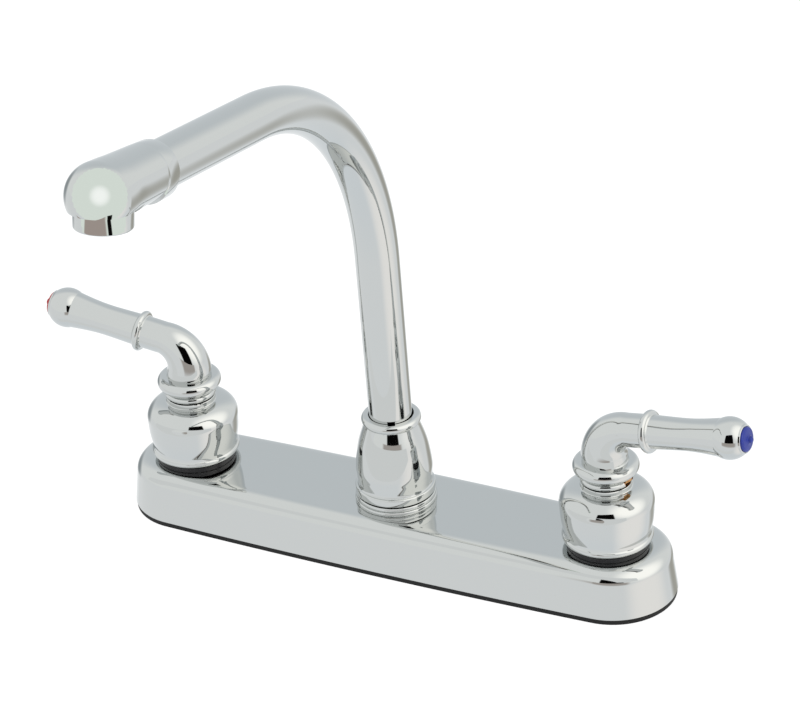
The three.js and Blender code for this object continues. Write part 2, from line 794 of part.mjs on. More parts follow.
function spoutNut() {
  const boreTop = tubeBottom + slipWasherThickness + fitGap;
  const throat = tubeRadius + throatGap;
  const beadCentre = nutTop - nutBeadSection;
  const vase = new THREE.SplineCurve([
    new THREE.Vector2(vaseFootRadius, nutBottom + nutFlangeHeight + 1.4),
    new THREE.Vector2((vaseFootRadius + vaseRadius) / 2 + 0.1, (nutBottom + vaseHeight) / 2 + 2),
    new THREE.Vector2(vaseRadius, vaseHeight),
    new THREE.Vector2(vaseRadius - 1.6, vaseHeight + 10.5),
    new THREE.Vector2(vaseNeckRadius, beadCentre - nutBeadSection),
  ]).getPoints(9);
  return turned([
    [spoutPostRadius + threadGap, nutBottom],
    [nutFlangeRadius - 0.4, nutBottom],
    [nutFlangeRadius, nutBottom + 0.4],
    [nutFlangeRadius, nutBottom + nutFlangeHeight - 0.6],
    [nutFlangeRadius - 0.6, nutBottom + nutFlangeHeight],
    [vaseFootRadius + 0.2, nutBottom + nutFlangeHeight + 0.4],
    ...vase,
    ...arc(nutBeadRadius - nutBeadSection, beadCentre, nutBeadSection, -60, 90, 5),
    [throat + 0.6, nutTop],
    [throat, nutTop - 0.6],
    [throat, boreTop],
    [spoutPostRadius + threadGap, boreTop],
  ]);
}

// ---- spout end: a ball-ended casting with a full collar at the tube's end ----
// Heights on the outlet's axis are measured from the ball's centre.
const waterwayRadius = tubeRadius - 2.5;

// The body between ball and collar: each row gives the station, and its height over and under the axis.
const endSections = [
  [-ballLead, ballRadius - 0.05, ballRadius - 0.05],
  [4, 12.7, 11.6],
  [12, 12.2, 10.5],
  [collarStart, 11.6, 10.2],
  [collarStart + 0.4, 11.6, collarUnder],
  [endSleeve - 0.4, 11.2, collarUnder],
  [endSleeve, 10.9, collarUnder - 0.3],
];

function spoutEnd() {
  const ball = new THREE.SphereGeometry(ballRadius, showSides, 12)
    .rotateX(Math.PI / 2).translate(0, 0, -ballLead);
  const sections = endSections.map(([station, over, under]) => {
    const radius = (over + under) / 2;
    return Array.from({ length: showSides }, (_, i) => {
      const angle = (2 * Math.PI * i) / showSides;
      const across = radius * Math.cos(angle);
      return new THREE.Vector3(across, radius * Math.sin(angle) - (over - under) / 2, station);
    });
  });
  const outer = toSolid(alongArm(skin(sections))).add(toSolid(alongArm(ball)));
  const boss = onOutlet(rod(outletBoss, -outletDrop, 0, showSides));
  // Everything under the seam goes, from the ball's front to just behind the aerator.
  const cutFront = -ballLead - ballRadius - 1;
  const cutBack = aeratorRadius + fitGap;
  const underBall = new THREE.BoxGeometry(ballRadius * 3, cutBack - cutFront, ballRadius);
  underBall.translate(0, (cutFront + cutBack) / 2, -outletDrop - ballRadius / 2);
  const bores = [
    onOutlet(underBall),
    alongArm(rod(tubeRadius + fitGap, endSleeve - endSocket - fitGap, endSleeve + 1, tubeSides)),
    alongArm(rod(waterwayRadius, 0, endSleeve)),
    onOutlet(rod(aeratorThread + threadGap, -outletDrop - 1, aeratorThreadHeight + fitGap - outletDrop)),
    onOutlet(rod(waterwayRadius, -outletDrop - 1, 0)),
  ];
  return fromSolid(bores.reduce((solid, bore) => solid.subtract(toSolid(bore)), outer.add(toSolid(boss))));
}

// ---- aerator, from the seam down ----
const aeratorTop = -outletDrop - fitGap;
const aeratorBottom = aeratorTop - aeratorHeight;
const cageRadius = aeratorRadius - aeratorWall;
const cageTop = aeratorTop - 1;
const threadTop = aeratorThreadHeight - outletDrop;
const threadWall = aeratorThread - aeratorWall;
const insertRadius = cageRadius - fitGap;
const washerHeight = 1.4;
const screenHeight = 1.2;

function aeratorHousing() {
  return onOutlet(turned([
    [cageRadius - aeratorLip, aeratorBottom],
    [aeratorRadius - 0.9, aeratorBottom],
    [aeratorRadius - 0.2, aeratorBottom + 0.7],
    [aeratorRadius, aeratorBottom + 2],
    [aeratorRadius, aeratorTop - 0.3],
    [aeratorRadius - 0.3, aeratorTop],
    [aeratorThread, aeratorTop],
    [aeratorThread, threadTop],
    [threadWall, threadTop],
    [threadWall, cageTop],
    [cageRadius, cageTop],
    [cageRadius, aeratorBottom + 1],
    [cageRadius - aeratorLip, aeratorBottom + 1],
  ]));
}

const screenBottom = aeratorBottom + 1 + fitGap;
const insertBottom = screenBottom + screenHeight + fitGap;
const insertTop = cageTop - fitGap;

function aeratorScreen() {
  const slotCount = 5;
  const pitch = (2 * insertRadius) / (slotCount + 1.5);
  const disc = rod(insertRadius, screenBottom, screenBottom + screenHeight, showSides);
  const slots = Array.from({ length: slotCount }, (_, i) => {
    const x = (i - (slotCount - 1) / 2) * pitch;
    const span = 2 * Math.sqrt((insertRadius - 1.6) ** 2 - x ** 2);
    return new THREE.BoxGeometry(pitch * 0.55, span, screenHeight * 3).translate(x, 0, screenBottom);
  });
  return onOutlet(cut(disc, ...slots));
}

function aeratorInsert() {
  const holeCount = 6;
  const holeRadius = 1.3;
  const disc = rod(insertRadius, insertBottom, insertTop, showSides);
  const holes = Array.from({ length: holeCount }, (_, i) => {
    const angle = (2 * Math.PI * i) / holeCount;
    return rod(holeRadius, insertBottom - 1, insertTop + 1, 10)
      .translate(5.4 * Math.cos(angle), 5.4 * Math.sin(angle), 0);
  });
  return onOutlet(cut(disc, ...holes));
}

function aeratorWasher() {
  const outer = threadWall - fitGap;
  return onOutlet(pipe(outer - 2.2, outer, insertTop + fitGap, insertTop + fitGap + washerHeight));
}

// ---- assembly ----
function piece(name, geometry, material) {
  const mesh = new THREE.Mesh(geometry, material);
  mesh.name = name;
  return mesh;
}

const faucet = new THREE.Group();

faucet.add(
  piece('deck_cover', deckCover(), chrome),
  piece('base_gasket', baseGasket(), blackRubber),
  piece('underbody', underbody(), whitePlastic),
  piece('spout_base_ring', baseRing(), chrome),
  piece('spout_nut', spoutNut(), chrome),
  piece('spout_nut_washer', slipWasher(), whitePlastic),
);

const spout = new THREE.Group();
spout.add(
  piece('spout_tube', spoutTube(), chrome),
  piece('spout_gland', spoutGland(), brass),
  piece('spout_o_ring_lower', spoutRing(glandRings[0]), blackRubber),
  piece('spout_o_ring_upper', spoutRing(glandRings[1]), blackRubber),
  piece('spout_end', spoutEnd(), chrome),
  piece('aerator_housing', aeratorHousing(), chrome),
  piece('aerator_washer', aeratorWasher(), blackRubber),
  piece('aerator_insert', aeratorInsert(), greyPlastic),
  piece('aerator_screen', aeratorScreen(), steel),
);
faucet.add(spout);

for (const [side, x] of Object.entries(stations)) {
  const supply = new THREE.Group();
  supply.add(
    piece(`${side}_inlet_shank`, inletShank(), whitePlastic),
    piece(`${side}_mounting_washer`, mountingWasher(), steel),
    piece(`${side}_mounting_nut`, mountingNut(), whitePlastic),
    piece(`${side}_seat_spring`, seatSpring(), steel),
    piece(`${side}_seat_seal`, seatSeal(), blackRubber),
    piece(`${side}_fixed_disc`, ceramicDisc(fixedDiscBottom), ceramic),
    piece(`${side}_cartridge_housing`, cartridgeHousing(), greyPlastic),
    piece(`${side}_bonnet_nut`, bonnetNut(), blackPlastic),
  );
  supply.position.x = x;

  const handle = new THREE.Group();
  handle.add(
    piece(`${side}_moving_disc`, ceramicDisc(movingDiscBottom), ceramic),
    piece(`${side}_stem`, stem(), brass),
    piece(`${side}_stem_o_ring`, stemRing(), blackRubber),
    piece(`${side}_bell`, bell(), chrome),
    piece(`${side}_lever`, lever(), chrome),
    piece(`${side}_handle_screw`, handleScrew(), brass),
    piece(`${side}_index_button`, indexButton(), side === 'hot' ? hotRed : coldBlue),
  );
  handle.position.x = x;
  handle.rotation.z = side === 'hot' ? Math.PI + turn(leverTurn) : -turn(leverTurn);
  faucet.add(supply, handle);
}

export default faucet;
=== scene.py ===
import json
import math
import bmesh
import bpy
from mathutils import Matrix, Vector


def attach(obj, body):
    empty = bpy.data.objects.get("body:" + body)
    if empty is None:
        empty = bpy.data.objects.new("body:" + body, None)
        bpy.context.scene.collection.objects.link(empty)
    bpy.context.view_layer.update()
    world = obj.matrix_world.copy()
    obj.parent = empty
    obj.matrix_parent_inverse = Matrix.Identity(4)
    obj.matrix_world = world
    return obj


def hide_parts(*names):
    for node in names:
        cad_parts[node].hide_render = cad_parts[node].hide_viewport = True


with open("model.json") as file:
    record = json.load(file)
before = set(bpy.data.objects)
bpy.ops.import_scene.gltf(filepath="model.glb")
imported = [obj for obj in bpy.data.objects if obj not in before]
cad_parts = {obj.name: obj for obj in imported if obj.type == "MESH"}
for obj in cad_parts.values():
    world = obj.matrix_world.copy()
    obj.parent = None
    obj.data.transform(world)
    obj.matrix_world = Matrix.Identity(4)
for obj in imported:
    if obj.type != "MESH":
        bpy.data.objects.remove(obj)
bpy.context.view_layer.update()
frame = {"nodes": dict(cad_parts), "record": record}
print("frame loaded:", len(frame["nodes"]), "nodes")

mm = 0.001
zAxis = Vector((0, 0, 1))
mergeGap = 0.002  # mm; points that lie closer are one point
overrun = 1  # mm that a cutting tool reaches past what it cuts


# Small helpers. Every shape is built in millimetres and finished in metres.
def linearColour(code):
    parts = [int(code[i:i + 2], 16) / 255 for i in (1, 3, 5)]
    return [c / 12.92 if c <= 0.04045 else ((c + 0.055) / 1.055) ** 2.4 for c in parts] + [1.0]


def addNode(tree, kind, inputs=None, **settings):
    node = tree.nodes.new(kind)
    for name, value in settings.items():
        setattr(node, name, value)
    for socket, value in (inputs or {}).items():
        if isinstance(value, bpy.types.NodeSocket):
            tree.links.new(value, node.inputs[socket])
        else:
            node.inputs[socket].default_value = value
    return node


def arcPoints(radius, height, r, start, end, steps, squash=1.0):  # degrees: 0 is outwards and 90 is up
    angles = [math.radians(start + (end - start) * i / steps) for i in range(steps + 1)]
    return [(radius + r * math.cos(a), height + r * squash * math.sin(a)) for a in angles]


def splinePoints(points, perSpan=8):  # a smooth line through a few points (Catmull-Rom)
    ends = [points[0], *points, points[-1]]
    line = []
    for i in range(len(points) - 1):
        p0, p1, p2, p3 = [Vector(p) for p in ends[i:i + 4]]
        for s in range(perSpan):
            t = s / perSpan
            v0, v1 = (p2 - p0) / 2, (p3 - p1) / 2
            line.append(tuple((2 * p1 - 2 * p2 + v0 + v1) * t ** 3
                              + (-3 * p1 + 3 * p2 - 2 * v0 - v1) * t ** 2 + v0 * t + p1))
    return line + [tuple(points[-1])]


def spinProfile(bm, profile, steps=96, closed=False):
    verts = [bm.verts.new((r, 0, z)) for r, z in profile]
    edges = [bm.edges.new(pair) for pair in zip(verts, verts[1:])]
    if closed:
        edges.append(bm.edges.new((verts[-1], verts[0])))
    bmesh.ops.spin(bm, geom=verts + edges, cent=(0, 0, 0), axis=zAxis, angle=2 * math.pi, steps=steps,
                   use_merge=True)
    bmesh.ops.remove_doubles(bm, verts=bm.verts, dist=mergeGap)


def sweep(bm, edges, places):  # carries an open ring of edges from place to place
    before = places[0]
    for place in places[1:]:
        made = bmesh.ops.extrude_edge_only(bm, edges=edges)["geom"]
        verts = {g for g in made if isinstance(g, bmesh.types.BMVert)}
        edges = [g for g in made if isinstance(g, bmesh.types.BMEdge) and set(g.verts) <= verts]
        bmesh.ops.transform(bm, matrix=place @ before.inverted(), verts=list(verts))
        before = place
    return edges


def finishPiece(bm, name, place=None, sharp=32):
    bmesh.ops.remove_doubles(bm, verts=bm.verts, dist=mergeGap)
    bmesh.ops.recalc_face_normals(bm, faces=bm.faces)
    if place:
        bmesh.ops.transform(bm, matrix=place, verts=bm.verts)
    bmesh.ops.scale(bm, vec=(mm, mm, mm), verts=bm.verts)
    mesh = bpy.data.meshes.new(name)
    bm.to_mesh(mesh)
    bm.free()
    mesh.shade_smooth()
    mesh.set_sharp_from_angle(angle=math.radians(sharp))
    piece = bpy.data.objects.new(name, mesh)
    bpy.context.scene.collection.objects.link(piece)
    return piece


def carve(piece, cutter, operation="DIFFERENCE", sharp=32):
    modifier = piece.modifiers.new("carve", "BOOLEAN")
    modifier.operation = operation
    modifier.solver = "EXACT"
    modifier.object = cutter
    graph = bpy.context.evaluated_depsgraph_get()
    mesh = bpy.data.meshes.new_from_object(piece.evaluated_get(graph))
    piece.modifiers.clear()
    piece.data = mesh
    bpy.data.objects.remove(cutter)
    mesh.set_sharp_from_angle(angle=math.radians(sharp))
    return piece


def rodTool(radius, low, high, place, steps=64):  # a round bar to carve with
    bm = bmesh.new()
    spinProfile(bm, [(0, low), (radius, low), (radius, high), (0, high)], steps)
    return finishPiece(bm, "tool", place)


def wear(piece, material, body, slotName, *nodes):
    piece.data.materials.clear()
    piece.data.materials.append(material)
    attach(piece, body)
    if nodes:
        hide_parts(*nodes)
    return piece


def newMaterial(name, colour, roughness, metallic=0.0):
    material = bpy.data.materials.new(name)
    material.use_nodes = True
    tree = material.node_tree
    shader = tree.nodes["Principled BSDF"]
    shader.inputs["Base Color"].default_value = linearColour(colour)
    shader.inputs["Roughness"].default_value = roughness
    shader.inputs["Metallic"].default_value = metallic
    coords = tree.nodes.new("ShaderNodeTexCoord").outputs["Object"]
    return material, tree, shader, coords


def polishedChrome():
    # Bright nickel and chrome plate over buffed metal: a clean, neutral mirror whose reflections waver and
    # haze a little in places. A buffing wheel's marks are too fine to show, so they are drawn coarser.
    chrome = {"colour": "#ced0cf", "roughness": 0.03, "clearest": 0.015, "haziest": 0.04, "hazeSize": 24.0,
              "hazeDetail": 3.0, "waveSize": 9.0, "waveDetail": 1.0, "waveStrength": 0.25, "waveDepth": 0.006}
    material, tree, shader, coords = newMaterial("chromePlate", chrome["colour"], chrome["roughness"], 1.0)
    haze = addNode(tree, "ShaderNodeTexNoise", {"Vector": coords, "Scale": 1 / (chrome["hazeSize"] * mm),
                                                "Detail": chrome["hazeDetail"]})
    spread = addNode(tree, "ShaderNodeMapRange", {"Value": haze.outputs["Fac"], "To Min": chrome["clearest"],
                                                  "To Max": chrome["haziest"]})
    tree.links.new(spread.outputs["Result"], shader.inputs["Roughness"])
    wave = addNode(tree, "ShaderNodeTexNoise", {"Vector": coords, "Scale": 1 / (chrome["waveSize"] * mm),
                                                "Detail": chrome["waveDetail"]})
    bump = addNode(tree, "ShaderNodeBump", {"Height": wave.outputs["Fac"], "Strength": chrome["waveStrength"],
                                            "Distance": chrome["waveDepth"] * mm})
    tree.links.new(bump.outputs["Normal"], shader.inputs["Normal"])
    return material


def mouldedSurface(name, colour, roughness, grain=0.5, depth=0.02):  # grain and depth in mm
    mould = {"detail": 2.0, "strength": 0.3, "glossier": 0.05, "duller": 0.07}
    material, tree, shader, coords = newMaterial(name, colour, roughness)
    texture = addNode(tree, "ShaderNodeTexNoise", {"Vector": coords, "Scale": 1 / (grain * mm),
                                                   "Detail": mould["detail"]})
    bump = addNode(tree, "ShaderNodeBump", {"Height": texture.outputs["Fac"], "Strength": mould["strength"],
                                            "Distance": depth * mm})
    tree.links.new(bump.outputs["Normal"], shader.inputs["Normal"])
    spread = addNode(tree, "ShaderNodeMapRange", {"Value": texture.outputs["Fac"],
                                                  "To Min": roughness - mould["glossier"],
                                                  "To Max": roughness + mould["duller"]})
    tree.links.new(spread.outputs["Result"], shader.inputs["Roughness"])
    return material


def turnedMetal(name, colour, roughness, lineWidth=0.35):  # lathe lines, one above the next; width in mm
    lathe = {"detail": 2.0, "strength": 0.35, "depth": 0.02, "glossier": 0.08, "duller": 0.1}
    material, tree, shader, coords = newMaterial(name, colour, roughness, 1.0)
    split = addNode(tree, "ShaderNodeSeparateXYZ", {"Vector": coords})
    lines = addNode(tree, "ShaderNodeTexNoise", {"W": split.outputs["Z"], "Scale": 1 / (lineWidth * mm),
                                                 "Detail": lathe["detail"]}, noise_dimensions="1D")
    bump = addNode(tree, "ShaderNodeBump", {"Height": lines.outputs["Fac"], "Strength": lathe["strength"],
                                            "Distance": lathe["depth"] * mm})
    tree.links.new(bump.outputs["Normal"], shader.inputs["Normal"])
    spread = addNode(tree, "ShaderNodeMapRange", {"Value": lines.outputs["Fac"],
                                                  "To Min": roughness - lathe["glossier"],
                                                  "To Max": roughness + lathe["duller"]})
    tree.links.new(spread.outputs["Result"], shader.inputs["Roughness"])
    return material


chromePlate = polishedChrome()
# Brass, turned and left bare: a warm pinkish yellow, streaked with fine turning lines.
brassTurned = turnedMetal("brassTurned", "#b98f62", 0.3)
# Stainless steel, stamped or drawn: a plain cool grey with a soft sheen along its lines.
stainlessSteel = turnedMetal("stainlessSteel", "#a5a8aa", 0.32, 0.6)
# Acetal, injection moulded: milky white with a waxy half gloss.
whiteAcetal = mouldedSurface("whiteAcetal", "#e6e5de", 0.42)
# Glass-filled nylon, injection moulded: an even mid grey, slightly grainy.
greyNylon = mouldedSurface("greyNylon", "#5d6063", 0.45)
# Black nylon, moulded in a polished tool: nearly black, with a clear gleam below the bells.
blackNylon = mouldedSurface("blackNylon", "#151418", 0.28, 0.5, 0.002)
# Rubber, pressed in a plain mould: a dull black that hardly catches the light.
blackRubber = mouldedSurface("blackRubber", "#070708", 0.7, 0.8, 0.012)
# Alumina ceramic, fired and lapped: off-white, smooth and glossy.
aluminaCeramic = mouldedSurface("aluminaCeramic", "#efece4", 0.22, 0.3, 0.004)
# Acrylic, dyed all through and injection moulded: strong red and blue with a soft gloss.
redAcrylic = mouldedSurface("redAcrylic", "#b5262b", 0.3, 2.0, 0.004)
blueAcrylic = mouldedSurface("blueAcrylic", "#22359a", 0.3, 2.0, 0.004)

slotFinish = {
    "chrome_plate": chromePlate, "brass": brassTurned, "steel": stainlessSteel, "white_plastic": whiteAcetal,
    "grey_plastic": greyNylon, "black_plastic": blackNylon, "black_rubber": blackRubber,
    "ceramic": aluminaCeramic, "hot_red": redAcrylic, "cold_blue": blueAcrylic,
}
slotOf = {part["node"]: part["material_slot"] for part in frame["record"]["subparts"]}
for name, node in frame["nodes"].items():  # what stays as the solid shows it still gets its finish
    node.data.materials.clear()
    node.data.materials.append(slotFinish[slotOf[name]])
print("materials done")


stationX = 101.6  # half of the 8 inch centres
plate = {"halfLength": 131.6, "halfWidth": 29.395, "endRadius": 27.7, "bottom": 2.4, "top": 24.3,
         "draft": 1.9, "edgeWidth": 8.2, "edgeHeight": 6.5, "edgeSteps": 14, "edgeBlend": 0.6, "wall": 2.2,
         "rimInset": 0.3, "stationHole": 11.7, "spoutHole": 12.6, "shankHole": 10.6, "holeBelow": 5,
         "holeAbove": 2, "endSteps": 72, "sideSteps": 48, "mergeGap": 0.01}


def plateFace(inset, height):  # a flat face with the plate's outline: two round ends and two bowed sides
    endCentre = plate["halfLength"] - plate["endRadius"]
    width, r = plate["halfWidth"], plate["endRadius"]
    bow = (endCentre ** 2 + width ** 2 - r ** 2) / (2 * (width - r))
    angle = math.asin(endCentre / (bow - r))
    bm = bmesh.new()
    start = Vector((endCentre + (r - inset) * math.sin(angle), -(r - inset) * math.cos(angle), height))
    last = [bm.verts.new(start)]
    for side in (1, -1):
        roundEnd = (Vector((side * endCentre, 0, 0)), math.pi - 2 * angle, plate["endSteps"])
        bowedSide = (Vector((0, side * (width - bow), 0)), 2 * angle, plate["sideSteps"])
        for centre, turn, steps in (roundEnd, bowedSide):
            made = bmesh.ops.spin(bm, geom=last, cent=centre, axis=zAxis, angle=turn, steps=steps)
            last = [g for g in made["geom_last"] if isinstance(g, bmesh.types.BMVert)]
    bmesh.ops.remove_doubles(bm, verts=bm.verts, dist=plate["mergeGap"])
    bmesh.ops.contextual_create(bm, geom=bm.edges[:])
    bmesh.ops.recalc_face_normals(bm, faces=bm.faces)
    if bm.faces[0].normal.z < 0:
        bmesh.ops.reverse_faces(bm, faces=bm.faces)
    return bm


def deckCover():
    p = plate
    bm = plateFace(0, p["bottom"])
    top = bm.faces[:]
    rings = [(p["draft"], p["top"] - p["edgeHeight"])]  # the drafted side, then the edge's elliptical quarter
    for i in range(1, p["edgeSteps"] + 1):
        a = math.pi / 2 * i / p["edgeSteps"]
        rings.append((p["draft"] + p["edgeWidth"] * (1 - math.cos(a)),
                      p["top"] - p["edgeHeight"] * (1 - math.sin(a))))
    rings.append((rings[-1][0] + p["edgeBlend"], p["top"]))
    inset, height = 0, p["bottom"]
    for nextInset, nextHeight in rings:
        bmesh.ops.inset_region(bm, faces=top, thickness=nextInset - inset, use_boundary=True,
                               use_even_offset=True)
        bmesh.ops.translate(bm, vec=(0, 0, nextHeight - height), verts=top[0].verts[:])
        inset, height = nextInset, nextHeight
    piece = finishPiece(bm, "deckCover", sharp=40)
    wall = piece.modifiers.new("wall", "SOLIDIFY")
    wall.thickness = p["wall"] * mm
    wall.offset = -1
    for x, radius in ((-stationX, p["stationHole"]), (0, p["spoutHole"]), (stationX, p["stationHole"])):
        carve(piece, rodTool(radius, p["top"] - p["holeBelow"], p["top"] + p["holeAbove"],
                             Matrix.Translation((x, 0, 0)), steps=96))
    return wear(piece, chromePlate, "base", "chrome_plate", "deck_cover")


def rubberRim():
    p = plate
    bm = plateFace(p["rimInset"], 0)
    made = bmesh.ops.extrude_face_region(bm, geom=bm.faces[:])["geom"]
    raised = [g for g in made if isinstance(g, bmesh.types.BMVert)]
    bmesh.ops.translate(bm, vec=(0, 0, p["bottom"]), verts=raised)
    piece = finishPiece(bm, "rubberRim")
    for x in (-stationX, stationX):
        carve(piece, rodTool(p["shankHole"], -overrun, p["bottom"] + overrun, Matrix.Translation((x, 0, 0))))
    return wear(piece, blackRubber, "base", "black_rubber", "base_gasket")


deckCover()
rubberRim()
print("plate done")


nut = {"bottom": 28.9, "bore": 12.75, "boreTop": 44.1, "throat": 10.05, "top": 67.0,
       "flangeRadius": 17.7, "flangeHeight": 3.6, "lowerEdge": 0.5, "upperEdge": 0.7,
       "seam": [(16.7, 0.1), (16.45, 0.5)],  # radius, and height above the flange
       "side": [(16.4, 33.9), (16.75, 37.7), (16.9, 42.5), (15.3, 53.0), (12.1, 63.0)],  # radius and height
       "beadRadius": 13.2, "beadSection": 2.0}
ring = {"radius": 18.2, "step": 0.3, "beads": 2, "bottom": 24.3, "height": 4.0, "groove": 0.5, "bore": 12.7}
tube = {"radius": 9.525, "wall": 1.0, "bottom": 42.5, "knee": 58.0, "lean": 1.84, "bendStart": 144.9,
        "bendRadius": 113.95, "bendSteps": 72, "rise": 10.16, "reach": 204.7}
end = {"ball": 13.0, "ballSteps": 32, "lead": 2.25, "length": 35.7, "socket": 11.0, "socketGap": 0.25,
       "socketEndGap": 0.3, "drop": 5.2, "boss": 10.9, "threadBore": 9.55, "threadBoreTop": -0.9,
       "waterway": 7.0,  # taper and collar: station along the arm, and size over and under its axis
       "taper": [(4, 12.7, 11.6), (12, 12.2, 10.5), (27.2, 11.6, 10.2)],
       "collar": [(27.6, 11.6, 11.6), (28.0, 11.6, 11.6), (35.0, 11.3, 11.6), (35.5, 11.1, 11.4),
                  (35.7, 10.7, 11.0)]}
aerator = {"radius": 11.15, "height": 6.9, "wall": 1.3, "lowerEdge": 1.0, "upperEdge": 0.3, "shelf": 1.0,
           "thread": 9.2, "threadHeight": 4.0, "lip": 1.6, "gap": 0.3}


def spoutNut():
    n = nut
    bead = n["top"] - n["beadSection"]
    flange = n["bottom"] + n["flangeHeight"]
    low, high = n["lowerEdge"], n["upperEdge"]
    profile = [(n["bore"], n["bottom"]),
               *arcPoints(n["flangeRadius"] - low, n["bottom"] + low, low, -90, 0, 4),
               *arcPoints(n["flangeRadius"] - high, flange - high, high, 0, 90, 5),
               *[(r, flange + z) for r, z in n["seam"]], *splinePoints(n["side"]),
               *arcPoints(n["beadRadius"] - n["beadSection"], bead, n["beadSection"], -60, 90, 12),
               (n["throat"], n["top"]), (n["throat"], n["boreTop"]), (n["bore"], n["boreTop"])]
    bm = bmesh.new()
    spinProfile(bm, profile, steps=112, closed=True)
    return wear(finishPiece(bm, "spoutNut"), chromePlate, "base", "chrome_plate", "spout_nut")


def baseRing():
    r = ring
    bead = r["height"] / r["beads"]
    profile = [(r["bore"], r["bottom"])]
    for i in range(r["beads"]):
        profile += arcPoints(r["radius"] - r["step"] * i - r["groove"], r["bottom"] + bead * (i + 0.5),
                             r["groove"], -88, 88, 12, squash=bead / 2 / r["groove"])
    profile.append((r["bore"], r["bottom"] + r["height"]))
    bm = bmesh.new()
    spinProfile(bm, profile, steps=112, closed=True)
    return wear(finishPiece(bm, "spoutBaseRing"), chromePlate, "base", "chrome_plate", "spout_base_ring")


def tubePlaces(reach):  # where the tube's section stands along its line, which lies in x = 0
    t = tube
    lean, rise = math.radians(t["lean"]), math.radians(t["rise"])
    startY = -(t["bendStart"] - t["knee"]) * math.tan(lean)
    centre = Vector((0, startY - t["bendRadius"] * math.cos(lean),
                     t["bendStart"] - t["bendRadius"] * math.sin(lean)))
    places = [Matrix.Translation((0, 0, t["bottom"])), Matrix.Translation((0, 0, t["knee"]))
              @ Matrix.Rotation(lean / 2, 4, "X")]
    sweepAngle = math.pi / 2 - lean - rise
    for i in range(t["bendSteps"] + 1):
        tilt = lean + sweepAngle * i / t["bendSteps"]
        out = Vector((0, math.cos(tilt), math.sin(tilt)))
        places.append(Matrix.Translation(centre + out * t["bendRadius"]) @ Matrix.Rotation(tilt, 4, "X"))
    last = places[-1].translation
    along = (reach + last.y) / math.cos(rise)
    places.append(Matrix.Translation(last + Vector((0, -math.cos(rise), math.sin(rise))) * along)
                  @ Matrix.Rotation(math.pi / 2 - rise, 4, "X"))
    return places


def spoutTube():
    bm = bmesh.new()
    inside = end["length"] - end["socket"]
    places = tubePlaces(tube["reach"] - inside * math.cos(math.radians(tube["rise"])))
    for radius in (tube["radius"], tube["radius"] - tube["wall"]):
        made = bmesh.ops.create_circle(bm, radius=radius, segments=72)["verts"]
        edges = list({e for v in made for e in v.link_edges})
        bmesh.ops.transform(bm, matrix=places[0], verts=made)
        sweep(bm, edges, places)
    openEdges = [e for e in bm.edges if e.is_boundary]
    bmesh.ops.bridge_loops(bm, edges=[e for e in openEdges if e.verts[0].co.z < tube["knee"]])
    bmesh.ops.bridge_loops(bm, edges=[e for e in bm.edges if e.is_boundary])
    return wear(finishPiece(bm, "spoutTube"), chromePlate, "spout", "chrome_plate", "spout_tube")


tipPoint = tubePlaces(tube["reach"])[-1].translation
armTilt = math.radians(tube["rise"])
alongArm = Matrix.Translation(tipPoint) @ Matrix.Rotation(-math.pi / 2 - armTilt, 4, "X")
onOutlet = Matrix.Translation(tipPoint) @ Matrix.Rotation(-armTilt, 4, "X")


def ballEnd():
    e = end
    bm = bmesh.new()
    made = bmesh.ops.create_circle(bm, radius=1, segments=96)["verts"]
    edges = list({edge for v in made for edge in v.link_edges})
    rings = []
    for i in range(1, e["ballSteps"] + 1):  # the front half of the ball, from its pole
        a = math.pi / 2 * i / e["ballSteps"]
        size = e["ball"] * math.sin(a)
        rings.append((-e["lead"] - e["ball"] * math.cos(a), size, size))
    rings += splinePoints([(-e["lead"], e["ball"], e["ball"]), *e["taper"]], perSpan=10)[1:]
    rings += e["collar"]
    places = []
    for station, over, under in rings:  # as wide as its upper half is high, and flatter below
        places.append(Matrix.Translation((0, -(over - under) / 2, station))
                      @ Matrix.Diagonal((over, (over + under) / 2, 1, 1)))
    bmesh.ops.transform(bm, matrix=places[0], verts=made)
    front = bmesh.ops.contextual_create(bm, geom=edges)["faces"]
    bmesh.ops.poke(bm, faces=front)
    last = sweep(bm, edges, places)
    bmesh.ops.contextual_create(bm, geom=last)
    piece = finishPiece(bm, "ballEnd", alongArm)

    # The aerator's round boss, the flat cut across the ball's foot, the tube's socket and the waterway.
    carve(piece, rodTool(e["boss"], -e["drop"], 0, onOutlet, steps=96), "UNION")
    flatBack = aerator["radius"] + aerator["gap"]
    flatFront = -e["lead"] - e["ball"] - overrun
    box = bmesh.new()
    bmesh.ops.create_cube(box, size=1)
    bmesh.ops.scale(box, vec=(3 * e["ball"], flatBack - flatFront, e["ball"]), verts=box.verts)
    bmesh.ops.translate(box, vec=(0, (flatFront + flatBack) / 2, -e["drop"] - e["ball"] / 2),
                        verts=box.verts)
    carve(piece, finishPiece(box, "tool", onOutlet))
    carve(piece, rodTool(tube["radius"] + e["socketGap"], e["length"] - e["socket"] - e["socketEndGap"],
                         e["length"] + overrun, alongArm, steps=96))
    carve(piece, rodTool(e["waterway"], 0, e["length"], alongArm, steps=96))
    outlet = bmesh.new()
    spinProfile(outlet, [(0, -e["drop"] - overrun), (e["threadBore"], -e["drop"] - overrun),
                         (e["threadBore"], e["threadBoreTop"]), (e["waterway"], e["threadBoreTop"]),
                         (e["waterway"], 0), (0, 0)])
    carve(piece, finishPiece(outlet, "tool", onOutlet))
    return wear(piece, chromePlate, "spout", "chrome_plate", "spout_end")


